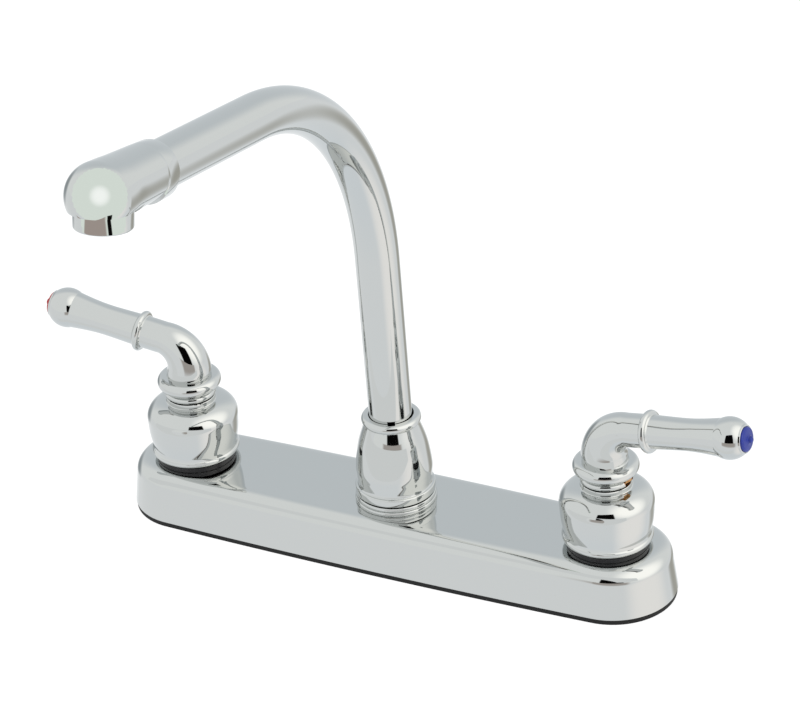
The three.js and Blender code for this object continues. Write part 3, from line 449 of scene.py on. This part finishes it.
def aeratorRing():
    a = aerator
    top = -end["drop"] - a["gap"]
    bottom = top - a["height"]
    cage = a["radius"] - a["wall"]
    threadTop = a["threadHeight"] - end["drop"]
    threadBore = a["thread"] - a["wall"]
    low, high, shelf = a["lowerEdge"], a["upperEdge"], a["shelf"]
    profile = [(cage - a["lip"], bottom), *arcPoints(a["radius"] - low, bottom + low, low, -90, 0, 6),
               *arcPoints(a["radius"] - high, top - high, high, 0, 90, 3),
               (a["thread"], top), (a["thread"], threadTop), (threadBore, threadTop),
               (threadBore, top - shelf), (cage, top - shelf), (cage, bottom + shelf),
               (cage - a["lip"], bottom + shelf)]
    bm = bmesh.new()
    spinProfile(bm, profile, steps=96, closed=True)
    piece = finishPiece(bm, "aeratorRing", onOutlet)
    return wear(piece, chromePlate, "spout", "chrome_plate", "aerator_housing")


spoutNut()
baseRing()
spoutTube()
ballEnd()
aeratorRing()
print("spout done")


bell = {"bottom": 27.5, "foot": 19.9, "bead": 1.6, "wall": 2.0,
        "side": [(19.0, 31.66), (20.1, 37.5), (20.6, 45.5)],  # radius and height, up to the shoulder
        "dome": 53.6, "domeCentre": 9.7, "domeEnd": 80, "crease": (11.32, 53.62), "neck": 11.2,
        "neckEdge": 0.2, "top": 55.7, "bore": 5.0}
lever = {"turn": 4.0, "hub": 10.4, "hubBottom": 56.0, "hubFoot": 10.5, "hubBead": (10.1, 57.6),
         "hubBeadSection": 1.5, "hubSeam": 59.4, "hubTop": 60.4, "collar": 63.2, "collarRadius": 14.4,
         "collarSection": 3.0, "elbow": 10.0, "elbowOffset": 0.6, "elbowRoot": 0.6, "elbowStart": 69.6,
         "elbowSteps": 24, "elbowClear": 0.5, "bend": 13.6, "rise": 9.7, "length": 65.8, "neckRadius": 7.3,
         "bead": 21.3, "beadRadius": 9.3, "beadSection": 1.5, "beadClear": 0.1, "waist": 37.0,
         "waistRadius": 6.9, "belly": 0.35, "bulb": 58.0, "bulbRadius": 9.1, "bulbNeck": 8.2,
         "bulbAngles": (-24, 47, 5), "tip": 5.95, "tipInset": 0.5, "stemBore": 4.3, "stemTop": 62.3,
         "tipEdge": [(-0.15, 0.12), (0, -0.1)], "seatEdge": [(0, 0.1), (-0.12, 0)]}  # off the metal's end
button = {"radius": 5.3, "depth": 3.0, "gap": 0.12, "under": 0.3, "edge": 0.05,
          "face": [(4.505, 0.55), (2.12, 0.95), (1.537, 1.4), (1.378, 2.15), (0.689, 2.55), (0, 2.64)]}
screw = {"height": 58.9, "hole": 2.5, "holeStart": 2, "mouth": 3.9, "mouthDepth": 1.3, "mouthRise": 0.2,
         "lining": 0.15, "liningFrom": 7, "liningTo": 14, "fit": 0.02, "radius": 2.2, "near": 3.4,
         "far": 8.0, "chamfer": 0.3, "key": 1.15, "keyDepth": 1.5}  # starts and ends are from the hub's axis
bonnet = {"bottom": 24.3, "flange": 17.9, "flangeHeight": 2.5, "flangeEdge": 0.3, "across": 27.0,
          "top": 38.0, "thread": 11.75, "shoulder": 35.3, "bore": 6.5}


def bellShell(side, place):
    b = bell
    foot = b["foot"] - b["bead"]
    shoulder, shoulderHeight = b["side"][-1]
    r = shoulder - b["domeCentre"]
    rise = b["dome"] - shoulderHeight
    edge = b["neckEdge"]
    profile = [(foot - 1, b["bottom"]), *arcPoints(foot, b["bottom"] + b["bead"], b["bead"], -90, 58, 14)]
    profile += splinePoints(b["side"])[:-1]
    profile += arcPoints(b["domeCentre"], shoulderHeight, r, 0, b["domeEnd"], 28, squash=rise / r)
    profile += [b["crease"], (b["neck"], b["dome"] + edge), (b["neck"], b["top"] - edge),
                (b["neck"] - edge, b["top"]), (b["bore"], b["top"]), (b["bore"], b["dome"] - b["wall"])]
    inner = r - b["wall"]
    profile += arcPoints(b["domeCentre"], shoulderHeight, inner, 90, 0, 12,
                         squash=(rise - b["wall"]) / inner)
    profile.append((foot - 1, b["bottom"] + b["bead"] * 2))
    bm = bmesh.new()
    spinProfile(bm, profile, steps=112, closed=True)
    piece = finishPiece(bm, side + "Bell", place)
    return wear(piece, chromePlate, side + "_handle", "chrome_plate", side + "_bell")


def screwPlace(place):  # lies across the hub, pointing the way the lever does
    return place @ Matrix.Translation((0, 0, screw["height"])) @ Matrix.Rotation(math.pi / 2, 4, "Y")


def leverLine():  # how far the elbow turns, and where it ends
    v = lever
    sweepAngle = math.pi / 2 - math.radians(v["rise"])
    elbowEnd = Vector((v["bend"] * (1 - math.cos(sweepAngle)) - v["elbowOffset"], 0,
                       v["elbowStart"] + v["bend"] * math.sin(sweepAngle)))
    return sweepAngle, elbowEnd


def leverOutline(elbowEnd):  # radius along the lever, from the elbow to the floor of the button's seat
    v = lever
    crease = v["bulb"] - math.sqrt(v["bulbRadius"] ** 2 - v["bulbNeck"] ** 2)
    half = v["beadSection"]
    flare = splinePoints([(elbowEnd.x, v["neckRadius"]), (v["bead"], v["neckRadius"]),
                          (v["waist"], v["waistRadius"]),
                          ((v["waist"] + crease) / 2, v["waistRadius"] + v["belly"]),
                          (crease, v["bulbNeck"])], perSpan=14)
    beadStart, beadEnd = v["bead"] - half - v["beadClear"], v["bead"] + half + v["beadClear"]
    arm = [p for p in flare if elbowEnd.x + v["elbowClear"] < p[0] < beadStart]
    arm += [(x, v["beadRadius"] - half + y) for x, y in arcPoints(v["bead"], 0, half, 180, 0, 20)]
    arm += [p for p in flare if p[0] > beadEnd]
    for angle in range(*v["bulbAngles"]):
        a = math.radians(angle)
        arm.append((v["bulb"] + v["bulbRadius"] * math.sin(a), v["bulbRadius"] * math.cos(a)))
    metalEnd = v["length"] - v["tipInset"]
    seat = button["radius"] + button["gap"]
    arm += [(metalEnd + x, v["tip"] + r) for x, r in v["tipEdge"]]
    arm += [(metalEnd + x, seat + r) for x, r in v["seatEdge"]]
    return arm + [(v["length"] - button["depth"], seat)]


def leverCasting(side, place):
    v = lever
    sweepAngle, elbowEnd = leverLine()
    collarTop = v["collar"] + v["collarSection"]
    profile = [(v["stemBore"], v["hubBottom"]), (v["hubFoot"], v["hubBottom"]),
               *arcPoints(*v["hubBead"], v["hubBeadSection"], -60, 60, 14),
               (v["hub"], v["hubSeam"]), (v["hub"], v["hubTop"]),
               *arcPoints(v["collarRadius"] - v["collarSection"], v["collar"], v["collarSection"],
                          -78, 90, 24)]
    bm = bmesh.new()
    spinProfile(bm, profile + [(v["elbow"], collarTop)], steps=80)
    rim = [e for e in bm.edges if e.is_boundary and abs(e.verts[0].co.z - collarTop) < mergeGap]

    def ringAt(x, z, tilt, radius):
        turned = Matrix.Translation((x, 0, z)) @ Matrix.Rotation(tilt, 4, "Y")
        return turned @ Matrix.Scale(radius / v["elbow"], 4)

    places = [Matrix.Translation((0, 0, collarTop)),
              ringAt(-v["elbowOffset"] / 2, collarTop + v["elbowRoot"], 0, v["elbow"])]
    for i in range(v["elbowSteps"] + 1):
        share = i / v["elbowSteps"]
        tilt = sweepAngle * share
        places.append(ringAt(v["bend"] * (1 - math.cos(tilt)) - v["elbowOffset"],
                             v["elbowStart"] + v["bend"] * math.sin(tilt), tilt,
                             v["elbow"] + (v["neckRadius"] - v["elbow"]) * share))
    slope = math.tan(math.radians(v["rise"]))
    for x, radius in leverOutline(elbowEnd):
        places.append(ringAt(x, elbowEnd.z + (x - elbowEnd.x) * slope, sweepAngle, radius))
    bmesh.ops.contextual_create(bm, geom=sweep(bm, rim, places))  # the floor of the button's seat
    made = bmesh.ops.extrude_edge_only(bm, edges=[e for e in bm.edges if e.is_boundary])["geom"]
    stemBore = [g for g in made if isinstance(g, bmesh.types.BMVert)]
    bmesh.ops.translate(bm, vec=(0, 0, v["stemTop"] - v["hubBottom"]), verts=stemBore)
    bmesh.ops.contextual_create(bm, geom=[e for e in bm.edges if e.is_boundary])
    piece = finishPiece(bm, side + "Lever", place, sharp=16)

    # The hole for the set screw is drilled through the plating, so its mouth shows bare brass.
    s = screw
    aside = screwPlace(place)
    lined = s["mouth"] - s["lining"]
    mouth = bmesh.new()
    spinProfile(mouth, [(s["hole"], s["liningFrom"]), (s["hole"], v["hub"] - s["mouthDepth"]),
                        (lined, v["hub"] + s["mouthRise"]), (lined, s["liningTo"]),
                        (s["mouth"], s["liningTo"]), (s["mouth"], s["liningFrom"])], steps=56, closed=True)
    solid = piece.copy()
    solid.data = piece.data.copy()
    bpy.context.scene.collection.objects.link(solid)
    lining = carve(finishPiece(mouth, side + "ScrewMouth", aside), solid, "INTERSECT")
    wear(lining, brassTurned, side + "_handle", "brass")
    carve(piece, rodTool(s["mouth"] + s["fit"], s["liningFrom"], s["liningTo"], aside, steps=56), sharp=16)
    carve(piece, rodTool(s["hole"], s["holeStart"], s["liningFrom"] + overrun, aside, steps=56), sharp=16)
    return wear(piece, chromePlate, side + "_handle", "chrome_plate", side + "_lever")


def tipButton(side, place, material):
    b = button
    sweepAngle, elbowEnd = leverLine()
    floor = b["under"] - b["depth"]
    profile = [(0, floor), (b["radius"], floor), (b["radius"], -b["edge"])]
    profile += splinePoints([(b["radius"] - b["edge"], b["edge"]), *b["face"]], perSpan=6)
    bm = bmesh.new()
    spinProfile(bm, profile, steps=64)
    tipHeight = elbowEnd.z + (lever["length"] - elbowEnd.x) * math.tan(math.radians(lever["rise"]))
    tip = place @ Matrix.Translation((lever["length"], 0, tipHeight)) @ Matrix.Rotation(sweepAngle, 4, "Y")
    piece = finishPiece(bm, side + "Button", tip, sharp=50)
    slotName = "hot_red" if side == "hot" else "cold_blue"
    return wear(piece, material, side + "_handle", slotName, side + "_index_button")


def setScrew(side, place):
    s = screw
    edge = s["chamfer"]
    bm = bmesh.new()
    spinProfile(bm, [(0, s["near"]), (s["radius"] - edge, s["near"]), (s["radius"], s["near"] + edge),
                     (s["radius"], s["far"] - edge), (s["radius"] - edge, s["far"]), (0, s["far"])], steps=40)
    piece = finishPiece(bm, side + "SetScrew", screwPlace(place))
    key = bmesh.new()
    bmesh.ops.create_cone(key, cap_ends=True, segments=6, radius1=s["key"], radius2=s["key"],
                          depth=2 * s["keyDepth"])
    bmesh.ops.translate(key, vec=(0, 0, s["far"]), verts=key.verts)
    carve(piece, finishPiece(key, "tool", screwPlace(place)))
    return wear(piece, brassTurned, side + "_handle", "brass", side + "_handle_screw")


def bonnetNut(side, place):
    b = bonnet
    flangeTop = b["bottom"] + b["flangeHeight"]
    edge = b["flangeEdge"]
    corner = b["across"] / math.sqrt(3)
    bm = bmesh.new()
    spinProfile(bm, [(b["thread"], b["bottom"]), (b["flange"] - edge, b["bottom"]),
                     (b["flange"], b["bottom"] + edge), (b["flange"], flangeTop - edge),
                     (b["flange"] - edge, flangeTop), (b["thread"], flangeTop)], steps=80, closed=True)
    piece = finishPiece(bm, side + "BonnetNut", place)
    body = bmesh.new()
    height = b["top"] - b["bottom"]
    bmesh.ops.create_cone(body, cap_ends=True, segments=6, radius1=corner, radius2=corner, depth=height)
    bmesh.ops.translate(body, vec=(0, 0, b["bottom"] + height / 2), verts=body.verts)
    carve(piece, finishPiece(body, "tool", place), "UNION")
    carve(piece, rodTool(b["thread"], b["bottom"] - 2 * overrun, b["shoulder"], place))
    carve(piece, rodTool(b["bore"], b["shoulder"] - overrun, b["top"] + overrun, place))
    return wear(piece, blackNylon, "base", "black_plastic", side + "_bonnet_nut")


forward = math.radians(lever["turn"])  # both levers point outwards and a little forward
for side, x, turn in (("hot", -stationX, math.pi + forward), ("cold", stationX, -forward)):
    upright = Matrix.Translation((x, 0, 0))
    turned = upright @ Matrix.Rotation(turn, 4, "Z")
    bellShell(side, turned)
    leverCasting(side, turned)
    tipButton(side, turned, redAcrylic if side == "hot" else blueAcrylic)
    setScrew(side, turned)
    bonnetNut(side, upright)
print("handles done")


shank = {"radius": 10.3, "bore": 5.6, "length": 50.0, "chamfer": 1.0, "pitch": 1.8, "threadDepth": 0.75,
         "threadStart": 0.8, "threadEnd": -2.5, "crest": 0.15, "runOut": 0.6, "shoulder": 2,
         "spigot": 7.65, "spigotTop": 6.5}
wingNut = {"hub": 14.5, "bore": 10.65, "top": -13.6, "height": 11.0, "lowerEdge": 0.8, "upperEdge": 0.6,
           "reach": 21.0, "wing": 7.0, "wingHeight": 7.7, "wingMiddle": 7.15, "wingEdge": 0.9}
washer = {"bore": 10.95, "radius": 19.0, "bottom": -13.6, "top": -12.0, "edge": 0.2}


def inletShank(side, place):
    s = shank
    root, crest = s["radius"] - s["threadDepth"], s["radius"]
    profile = [(s["bore"], -s["length"]), (crest - s["chamfer"], -s["length"])]
    z = -s["length"] + s["threadStart"]
    while z < s["threadEnd"]:
        middle = z + s["pitch"] / 2
        profile += [(root, z), (crest, middle - s["crest"]), (crest, middle + s["crest"])]
        z += s["pitch"]
    profile += [(root, z), (crest, z + s["runOut"]), (crest, s["shoulder"]), (s["spigot"], s["shoulder"]),
                (s["spigot"], s["spigotTop"]), (s["bore"], s["spigotTop"])]
    bm = bmesh.new()
    spinProfile(bm, profile, steps=64, closed=True)
    piece = finishPiece(bm, side + "Shank", place, sharp=20)
    return wear(piece, whiteAcetal, "base", "white_plastic", side + "_inlet_shank")


def mountingNut(side, place):
    n = wingNut
    low, high = n["top"] - n["height"], n["top"]
    bm = bmesh.new()
    spinProfile(bm, [(0, low), (n["hub"] - n["lowerEdge"], low), (n["hub"], low + n["lowerEdge"]),
                     (n["hub"], high - n["upperEdge"]), (n["hub"] - n["upperEdge"], high), (0, high)],
                steps=72)
    piece = finishPiece(bm, side + "MountingNut", place)
    for turn in (0, math.pi / 2):
        wing = bmesh.new()
        bmesh.ops.create_cube(wing, size=1)
        bmesh.ops.scale(wing, vec=(2 * n["reach"], n["wing"], n["wingHeight"]), verts=wing.verts)
        bmesh.ops.bevel(wing, geom=wing.edges[:], offset=n["wingEdge"], segments=3, affect="EDGES",
                        profile=0.5, material=-1)
        bmesh.ops.translate(wing, vec=(0, 0, high - n["wingMiddle"]), verts=wing.verts)
        carve(piece, finishPiece(wing, "tool", place @ Matrix.Rotation(turn, 4, "Z")), "UNION")
    carve(piece, rodTool(n["bore"], low - overrun, high + overrun, place, steps=72))
    return wear(piece, whiteAcetal, "base", "white_plastic", side + "_mounting_nut")


def mountingWasher(side, place):
    w = washer
    rim = w["radius"] - w["edge"]
    bm = bmesh.new()
    spinProfile(bm, [(w["bore"], w["bottom"]), (rim, w["bottom"]), (w["radius"], w["bottom"] + w["edge"]),
                     (w["radius"], w["top"] - w["edge"]), (rim, w["top"]), (w["bore"], w["top"])],
                steps=80, closed=True)
    piece = finishPiece(bm, side + "MountingWasher", place)
    return wear(piece, stainlessSteel, "base", "steel", side + "_mounting_washer")


for side, x in (("hot", -stationX), ("cold", stationX)):
    upright = Matrix.Translation((x, 0, 0))
    inletShank(side, upright)
    mountingNut(side, upright)
    mountingWasher(side, upright)
print("supply side done")


view = {"place": (0.56614, -1.05466, 0.78046), "yaw": 27.958, "pitch": 29.779, "roll": -3.738,
        "lens": 143.57, "sensor": 36, "farthest": 50}  # place and farthest in metres, turns in degrees


def photoCamera():
    yaw, pitch, roll = (math.radians(view[k]) for k in ("yaw", "pitch", "roll"))
    back = Vector((math.sin(yaw) * math.cos(pitch), -math.cos(yaw) * math.cos(pitch), math.sin(pitch)))
    right = Vector((math.cos(yaw), math.sin(yaw), 0))
    up = right.cross(-back)
    x = math.cos(roll) * right + math.sin(roll) * up
    y = math.cos(roll) * up - math.sin(roll) * right
    data = bpy.data.cameras.new("camera")
    data.lens = view["lens"]
    data.sensor_width = view["sensor"]
    data.clip_end = view["farthest"]
    camera = bpy.data.objects.new("camera", data)
    camera.matrix_world = Matrix.Translation(view["place"]) @ Matrix((x, y, back)).transposed().to_4x4()
    bpy.context.scene.collection.objects.link(camera)
    bpy.context.scene.camera = camera


photoCamera()
print("camera done")


# The studio that the chrome mirrors. A direction is two angles: round from the camera's side, and up.
cameraSide = -62.0
studio = {"wall": "#fbfdfc", "floor": "#f7f9fa", "under": "#f0f5f9", "underFrom": -0.45, "underTo": -0.95,
          "horizon": 0.004, "wallLevel": 1.0, "fill": 0.55}  # the horizon and what is under it, as sines
paper = {"size": 6000, "drop": 0.05, "shade": 0.3, "glow": 0.86, "bounce": 0.85}  # size and drop in mm
lamps = {  # metres and watts
    "keyLamp": {"place": (-0.9, -0.9, 1.3), "size": (0.7, 0.7), "power": 9},
    "sideLamp": {"place": (1.2, -0.3, 0.6), "size": (0.5, 0.9), "power": 5},
}
lampTarget = (0, -0.04, 0.12)
panels = {  # soft-edged areas of the room; middle and whole are the half widths of its even part and of all
    "rightSoftbox": {"turn": 62, "height": 40, "middle": 14, "whole": 50, "colour": "#fffdf8", "level": 1.5},
    "rightFloor": {"turn": 58, "height": -32, "middle": 10, "whole": 44, "colour": "#fffcf9", "level": 1.14},
    "backWall": {"turn": 180, "height": 18, "middle": 20, "whole": 48, "colour": "#eaf0f4", "level": 0.88},
    "leftCorner": {"turn": -143, "height": -8, "middle": 3, "whole": 22, "colour": "#d6dfe3", "level": 0.52},
    "rightCorner": {"turn": 138, "height": -26, "middle": 2, "whole": 20, "colour": "#e6e4da", "level": 0.6},
}
cards = {  # upright cards in mm; rays are the shortest and longest at which a mirror sees the card
    "darkGap": {"centre": (0, 0, 60), "distance": 600, "turns": (-22, 22), "heights": (0.6, 42),
                "colour": "#090808", "rays": (0, 2000), "fade": 36},
    "brownTable": {"centre": (0, 0, 60), "distance": 610, "turns": (-38, 32), "heights": (-16, 4.5),
                   "colour": "#b8b1ac", "rays": (0, 2000), "fade": 110},
    "tipBrown": {"centre": (0, -206.2, 264.5), "distance": 15, "turns": (-46, 12), "heights": (-35, 20),
                 "colour": "#bcaea7", "rays": (0, 9.5), "fade": 1.6},
    "tipDark": {"centre": (0, -206.2, 264.5), "distance": 15, "turns": (12, 23), "heights": (-35, 20),
                "colour": "#100e0d", "rays": (0, 9.5), "fade": 0.5},
    "deckScreen": {"centre": (0, 0, 24), "distance": 195.3, "turns": (-104.7, 48.7), "heights": (1.2, 10),
                   "colour": "#f2f4f4", "rays": (27, 110), "fade": 2},
}
tipDome = {"radius": 72, "reach": 94, "rays": (0, 105), "middle": ("#fdfffc", 1.42),
           "rest": ("#f3fbf3", 1.12), "middleEdge": (4, 36)}


def direction(turn, height):
    around, up = math.radians(cameraSide + turn), math.radians(height)
    return Vector((math.cos(up) * math.cos(around), math.cos(up) * math.sin(around), math.sin(up)))


def glowColour(code, level):  # may be brighter than white
    return [c * level for c in linearColour(code)[:3]] + [1]


def studioWorld():
    world = bpy.data.worlds.new("studio")
    bpy.context.scene.world = world
    world.use_nodes = True
    tree = world.node_tree
    tree.nodes.clear()
    coords = addNode(tree, "ShaderNodeTexCoord").outputs["Generated"]  # the direction that a mirror looks in
    height = addNode(tree, "ShaderNodeSeparateXYZ", {"Vector": coords}).outputs["Z"]
    below = addNode(tree, "ShaderNodeMapRange", {"Value": height, "From Min": studio["underFrom"],
                                                 "From Max": studio["underTo"]})
    level = addNode(tree, "ShaderNodeMapRange", {"Value": height, "From Min": -studio["horizon"],
                                                 "From Max": studio["horizon"]})
    floor = addNode(tree, "ShaderNodeMix", {0: below.outputs["Result"], 6: linearColour(studio["floor"]),
                                            7: linearColour(studio["under"])}, data_type="RGBA")
    room = addNode(tree, "ShaderNodeMix", {0: level.outputs["Result"], 6: floor.outputs[2],
                                           7: linearColour(studio["wall"])}, data_type="RGBA").outputs[2]
    for panel in panels.values():
        middle = direction(panel["turn"], panel["height"])
        near = addNode(tree, "ShaderNodeVectorMath", {0: coords, 1: middle}, operation="DOT_PRODUCT")
        soft = addNode(tree, "ShaderNodeMapRange", {"Value": near.outputs["Value"],
                                                    "From Min": math.cos(math.radians(panel["whole"])),
                                                    "From Max": math.cos(math.radians(panel["middle"]))},
                       interpolation_type="SMOOTHSTEP")
        room = addNode(tree, "ShaderNodeMix", {0: soft.outputs["Result"], 6: room,
                                               7: glowColour(panel["colour"], panel["level"])},
                       data_type="RGBA").outputs[2]
    path = addNode(tree, "ShaderNodeLightPath")
    mirrored = addNode(tree, "ShaderNodeBackground", {"Color": room, "Strength": studio["wallLevel"]})
    white = addNode(tree, "ShaderNodeBackground", {"Color": (1, 1, 1, 1), "Strength": 1.0})
    fill = addNode(tree, "ShaderNodeBackground", {"Color": (1, 1, 1, 1), "Strength": studio["fill"]})
    first = addNode(tree, "ShaderNodeMixShader", {0: path.outputs["Is Glossy Ray"], 1: fill.outputs[0],
                                                  2: mirrored.outputs[0]})
    second = addNode(tree, "ShaderNodeMixShader", {0: path.outputs["Is Camera Ray"], 1: first.outputs[0],
                                                   2: white.outputs[0]})
    addNode(tree, "ShaderNodeOutputWorld", {"Surface": second.outputs[0]})


def emptyMaterial(name):
    material = bpy.data.materials.new(name)
    material.use_nodes = True
    material.node_tree.nodes.clear()
    return material, material.node_tree


def studioFloor():  # a matt white paper sweep, lit up to white, that keeps the faucet's soft shadow
    bm = bmesh.new()
    bmesh.ops.create_grid(bm, x_segments=1, y_segments=1, size=paper["size"])
    floor = finishPiece(bm, "floor", Matrix.Translation((0, 0, -paper["drop"])))
    material, tree = emptyMaterial("paperSweep")
    path = addNode(tree, "ShaderNodeLightPath")
    shaded = addNode(tree, "ShaderNodeBsdfDiffuse", {"Color": [paper["shade"]] * 3 + [1]})
    glow = addNode(tree, "ShaderNodeEmission", {"Color": (1, 1, 1, 1), "Strength": paper["glow"]})
    both = addNode(tree, "ShaderNodeAddShader", {0: shaded.outputs[0], 1: glow.outputs[0]})
    plain = addNode(tree, "ShaderNodeBsdfDiffuse", {"Color": [paper["bounce"]] * 3 + [1]})
    mix = addNode(tree, "ShaderNodeMixShader", {0: path.outputs["Is Camera Ray"], 1: plain.outputs[0],
                                                2: both.outputs[0]})
    addNode(tree, "ShaderNodeOutputMaterial", {"Surface": mix.outputs[0]})
    floor.data.materials.append(material)
    floor.visible_glossy = False  # the chrome mirrors the world's lower half instead, which is as pale


def softLamp(name, place, size, power):
    data = bpy.data.lights.new(name, "AREA")
    data.shape = "RECTANGLE"
    data.size, data.size_y = size
    data.energy = power
    light = bpy.data.objects.new(name, data)
    light.location = place
    light.rotation_mode = "QUATERNION"
    light.rotation_quaternion = (Vector(lampTarget) - Vector(place)).to_track_quat("-Z", "Y")
    light.visible_glossy = False  # the panels are what the chrome mirrors
    bpy.context.scene.collection.objects.link(light)


def onlyMirrored(card, rays):  # a card that glows, and only for mirrors at the distances in rays
    material, tree = emptyMaterial(card.name)
    rayLength = addNode(tree, "ShaderNodeLightPath").outputs["Ray Length"]
    far = addNode(tree, "ShaderNodeMath", {0: rayLength, 1: rays[0] * mm}, operation="GREATER_THAN")
    near = addNode(tree, "ShaderNodeMath", {0: rayLength, 1: rays[1] * mm}, operation="LESS_THAN")
    between = addNode(tree, "ShaderNodeMath", {0: far.outputs[0], 1: near.outputs[0]}, operation="MULTIPLY")
    shown = addNode(tree, "ShaderNodeMath", {0: between.outputs[0], 1: 1.0}, operation="MULTIPLY")
    glow = addNode(tree, "ShaderNodeEmission", {"Strength": 1.0})
    clear = addNode(tree, "ShaderNodeBsdfTransparent")
    mix = addNode(tree, "ShaderNodeMixShader", {0: shown.outputs[0], 1: clear.outputs[0], 2: glow.outputs[0]})
    addNode(tree, "ShaderNodeOutputMaterial", {"Surface": mix.outputs[0]})
    card.data.materials.append(material)
    for ray in ("visible_camera", "visible_diffuse", "visible_shadow", "visible_transmission"):
        setattr(card, ray, False)
    return tree, glow.inputs["Color"], shown.inputs[1]  # the last is how much of it shows


def studioCard(name, centre, distance, turns, heights, colour, rays, fade):
    (left, right), (low, high) = turns, heights
    bm = bmesh.new()
    corners = []
    for turn, height in ((left, low), (right, low), (right, high), (left, high)):
        rise = zAxis * distance * math.tan(math.radians(height))
        corners.append(bm.verts.new(Vector(centre) + direction(turn, 0) * distance + rise))
    bmesh.ops.contextual_create(bm, geom=corners)
    tree, glow, share = onlyMirrored(finishPiece(bm, name), rays)
    glow.default_value = linearColour(colour)
    # The card fades out over its foot and its two sides.
    coords = addNode(tree, "ShaderNodeTexCoord").outputs["Object"]
    fromCentre = addNode(tree, "ShaderNodeVectorMath", {0: coords, 1: Vector(centre) * mm},
                         operation="SUBTRACT")
    alongCard = direction((left + right) / 2 + 90, 0)
    aside = addNode(tree, "ShaderNodeVectorMath", {0: fromCentre.outputs[0], 1: alongCard},
                    operation="DOT_PRODUCT")
    away = addNode(tree, "ShaderNodeMath", {0: aside.outputs["Value"]}, operation="ABSOLUTE")
    up = addNode(tree, "ShaderNodeSeparateXYZ", {"Vector": fromCentre.outputs[0]})
    halfWidth = distance * math.sin(math.radians(right - left) / 2)
    foot = distance * math.tan(math.radians(low))
    soft = []
    for place, edge, inside in ((away.outputs[0], halfWidth, halfWidth - fade),
                                (up.outputs["Z"], foot, foot + fade)):
        fading = addNode(tree, "ShaderNodeMapRange", {"Value": place, "From Min": edge * mm,
                                                      "From Max": inside * mm},
                         interpolation_type="SMOOTHSTEP")
        soft.append(fading.outputs[0])
    both = addNode(tree, "ShaderNodeMath", {0: soft[0], 1: soft[1]}, operation="MULTIPLY")
    tree.links.new(both.outputs[0], share)


def softDome():  # a pale tent round the spout's end, brightest on the camera's side
    t = tipDome
    ball = alongArm @ Vector((0, 0, -end["lead"]))
    toCamera = (Vector(view["place"]) / mm - ball).normalized()
    bm = bmesh.new()
    bmesh.ops.create_uvsphere(bm, u_segments=64, v_segments=32, radius=t["radius"])
    behind = [v for v in bm.verts if v.co.normalized().dot(toCamera) < math.cos(math.radians(t["reach"]))]
    bmesh.ops.delete(bm, geom=behind, context="VERTS")
    tree, glow, share = onlyMirrored(finishPiece(bm, "softDome", Matrix.Translation(ball)), t["rays"])
    share.default_value = 1.0
    coords = addNode(tree, "ShaderNodeTexCoord").outputs["Object"]
    outward = addNode(tree, "ShaderNodeVectorMath", {0: coords, 1: ball * mm}, operation="SUBTRACT")
    facing = addNode(tree, "ShaderNodeVectorMath", {0: outward.outputs[0], 1: toCamera},
                     operation="DOT_PRODUCT")
    inner, outer = (t["radius"] * mm * math.cos(math.radians(a)) for a in t["middleEdge"])
    soft = addNode(tree, "ShaderNodeMapRange", {"Value": facing.outputs["Value"], "From Min": outer,
                                                "From Max": inner}, interpolation_type="SMOOTHSTEP")
    colour = addNode(tree, "ShaderNodeMix", {0: soft.outputs["Result"], 6: glowColour(*t["rest"]),
                                             7: glowColour(*t["middle"])}, data_type="RGBA")
    tree.links.new(colour.outputs[2], glow)


studioWorld()
studioFloor()
for name, lamp in lamps.items():
    softLamp(name, **lamp)
softDome()
for name, card in cards.items():
    studioCard(name, **card)
print("studio done")

bpy.context.scene.view_settings.view_transform = "Standard"
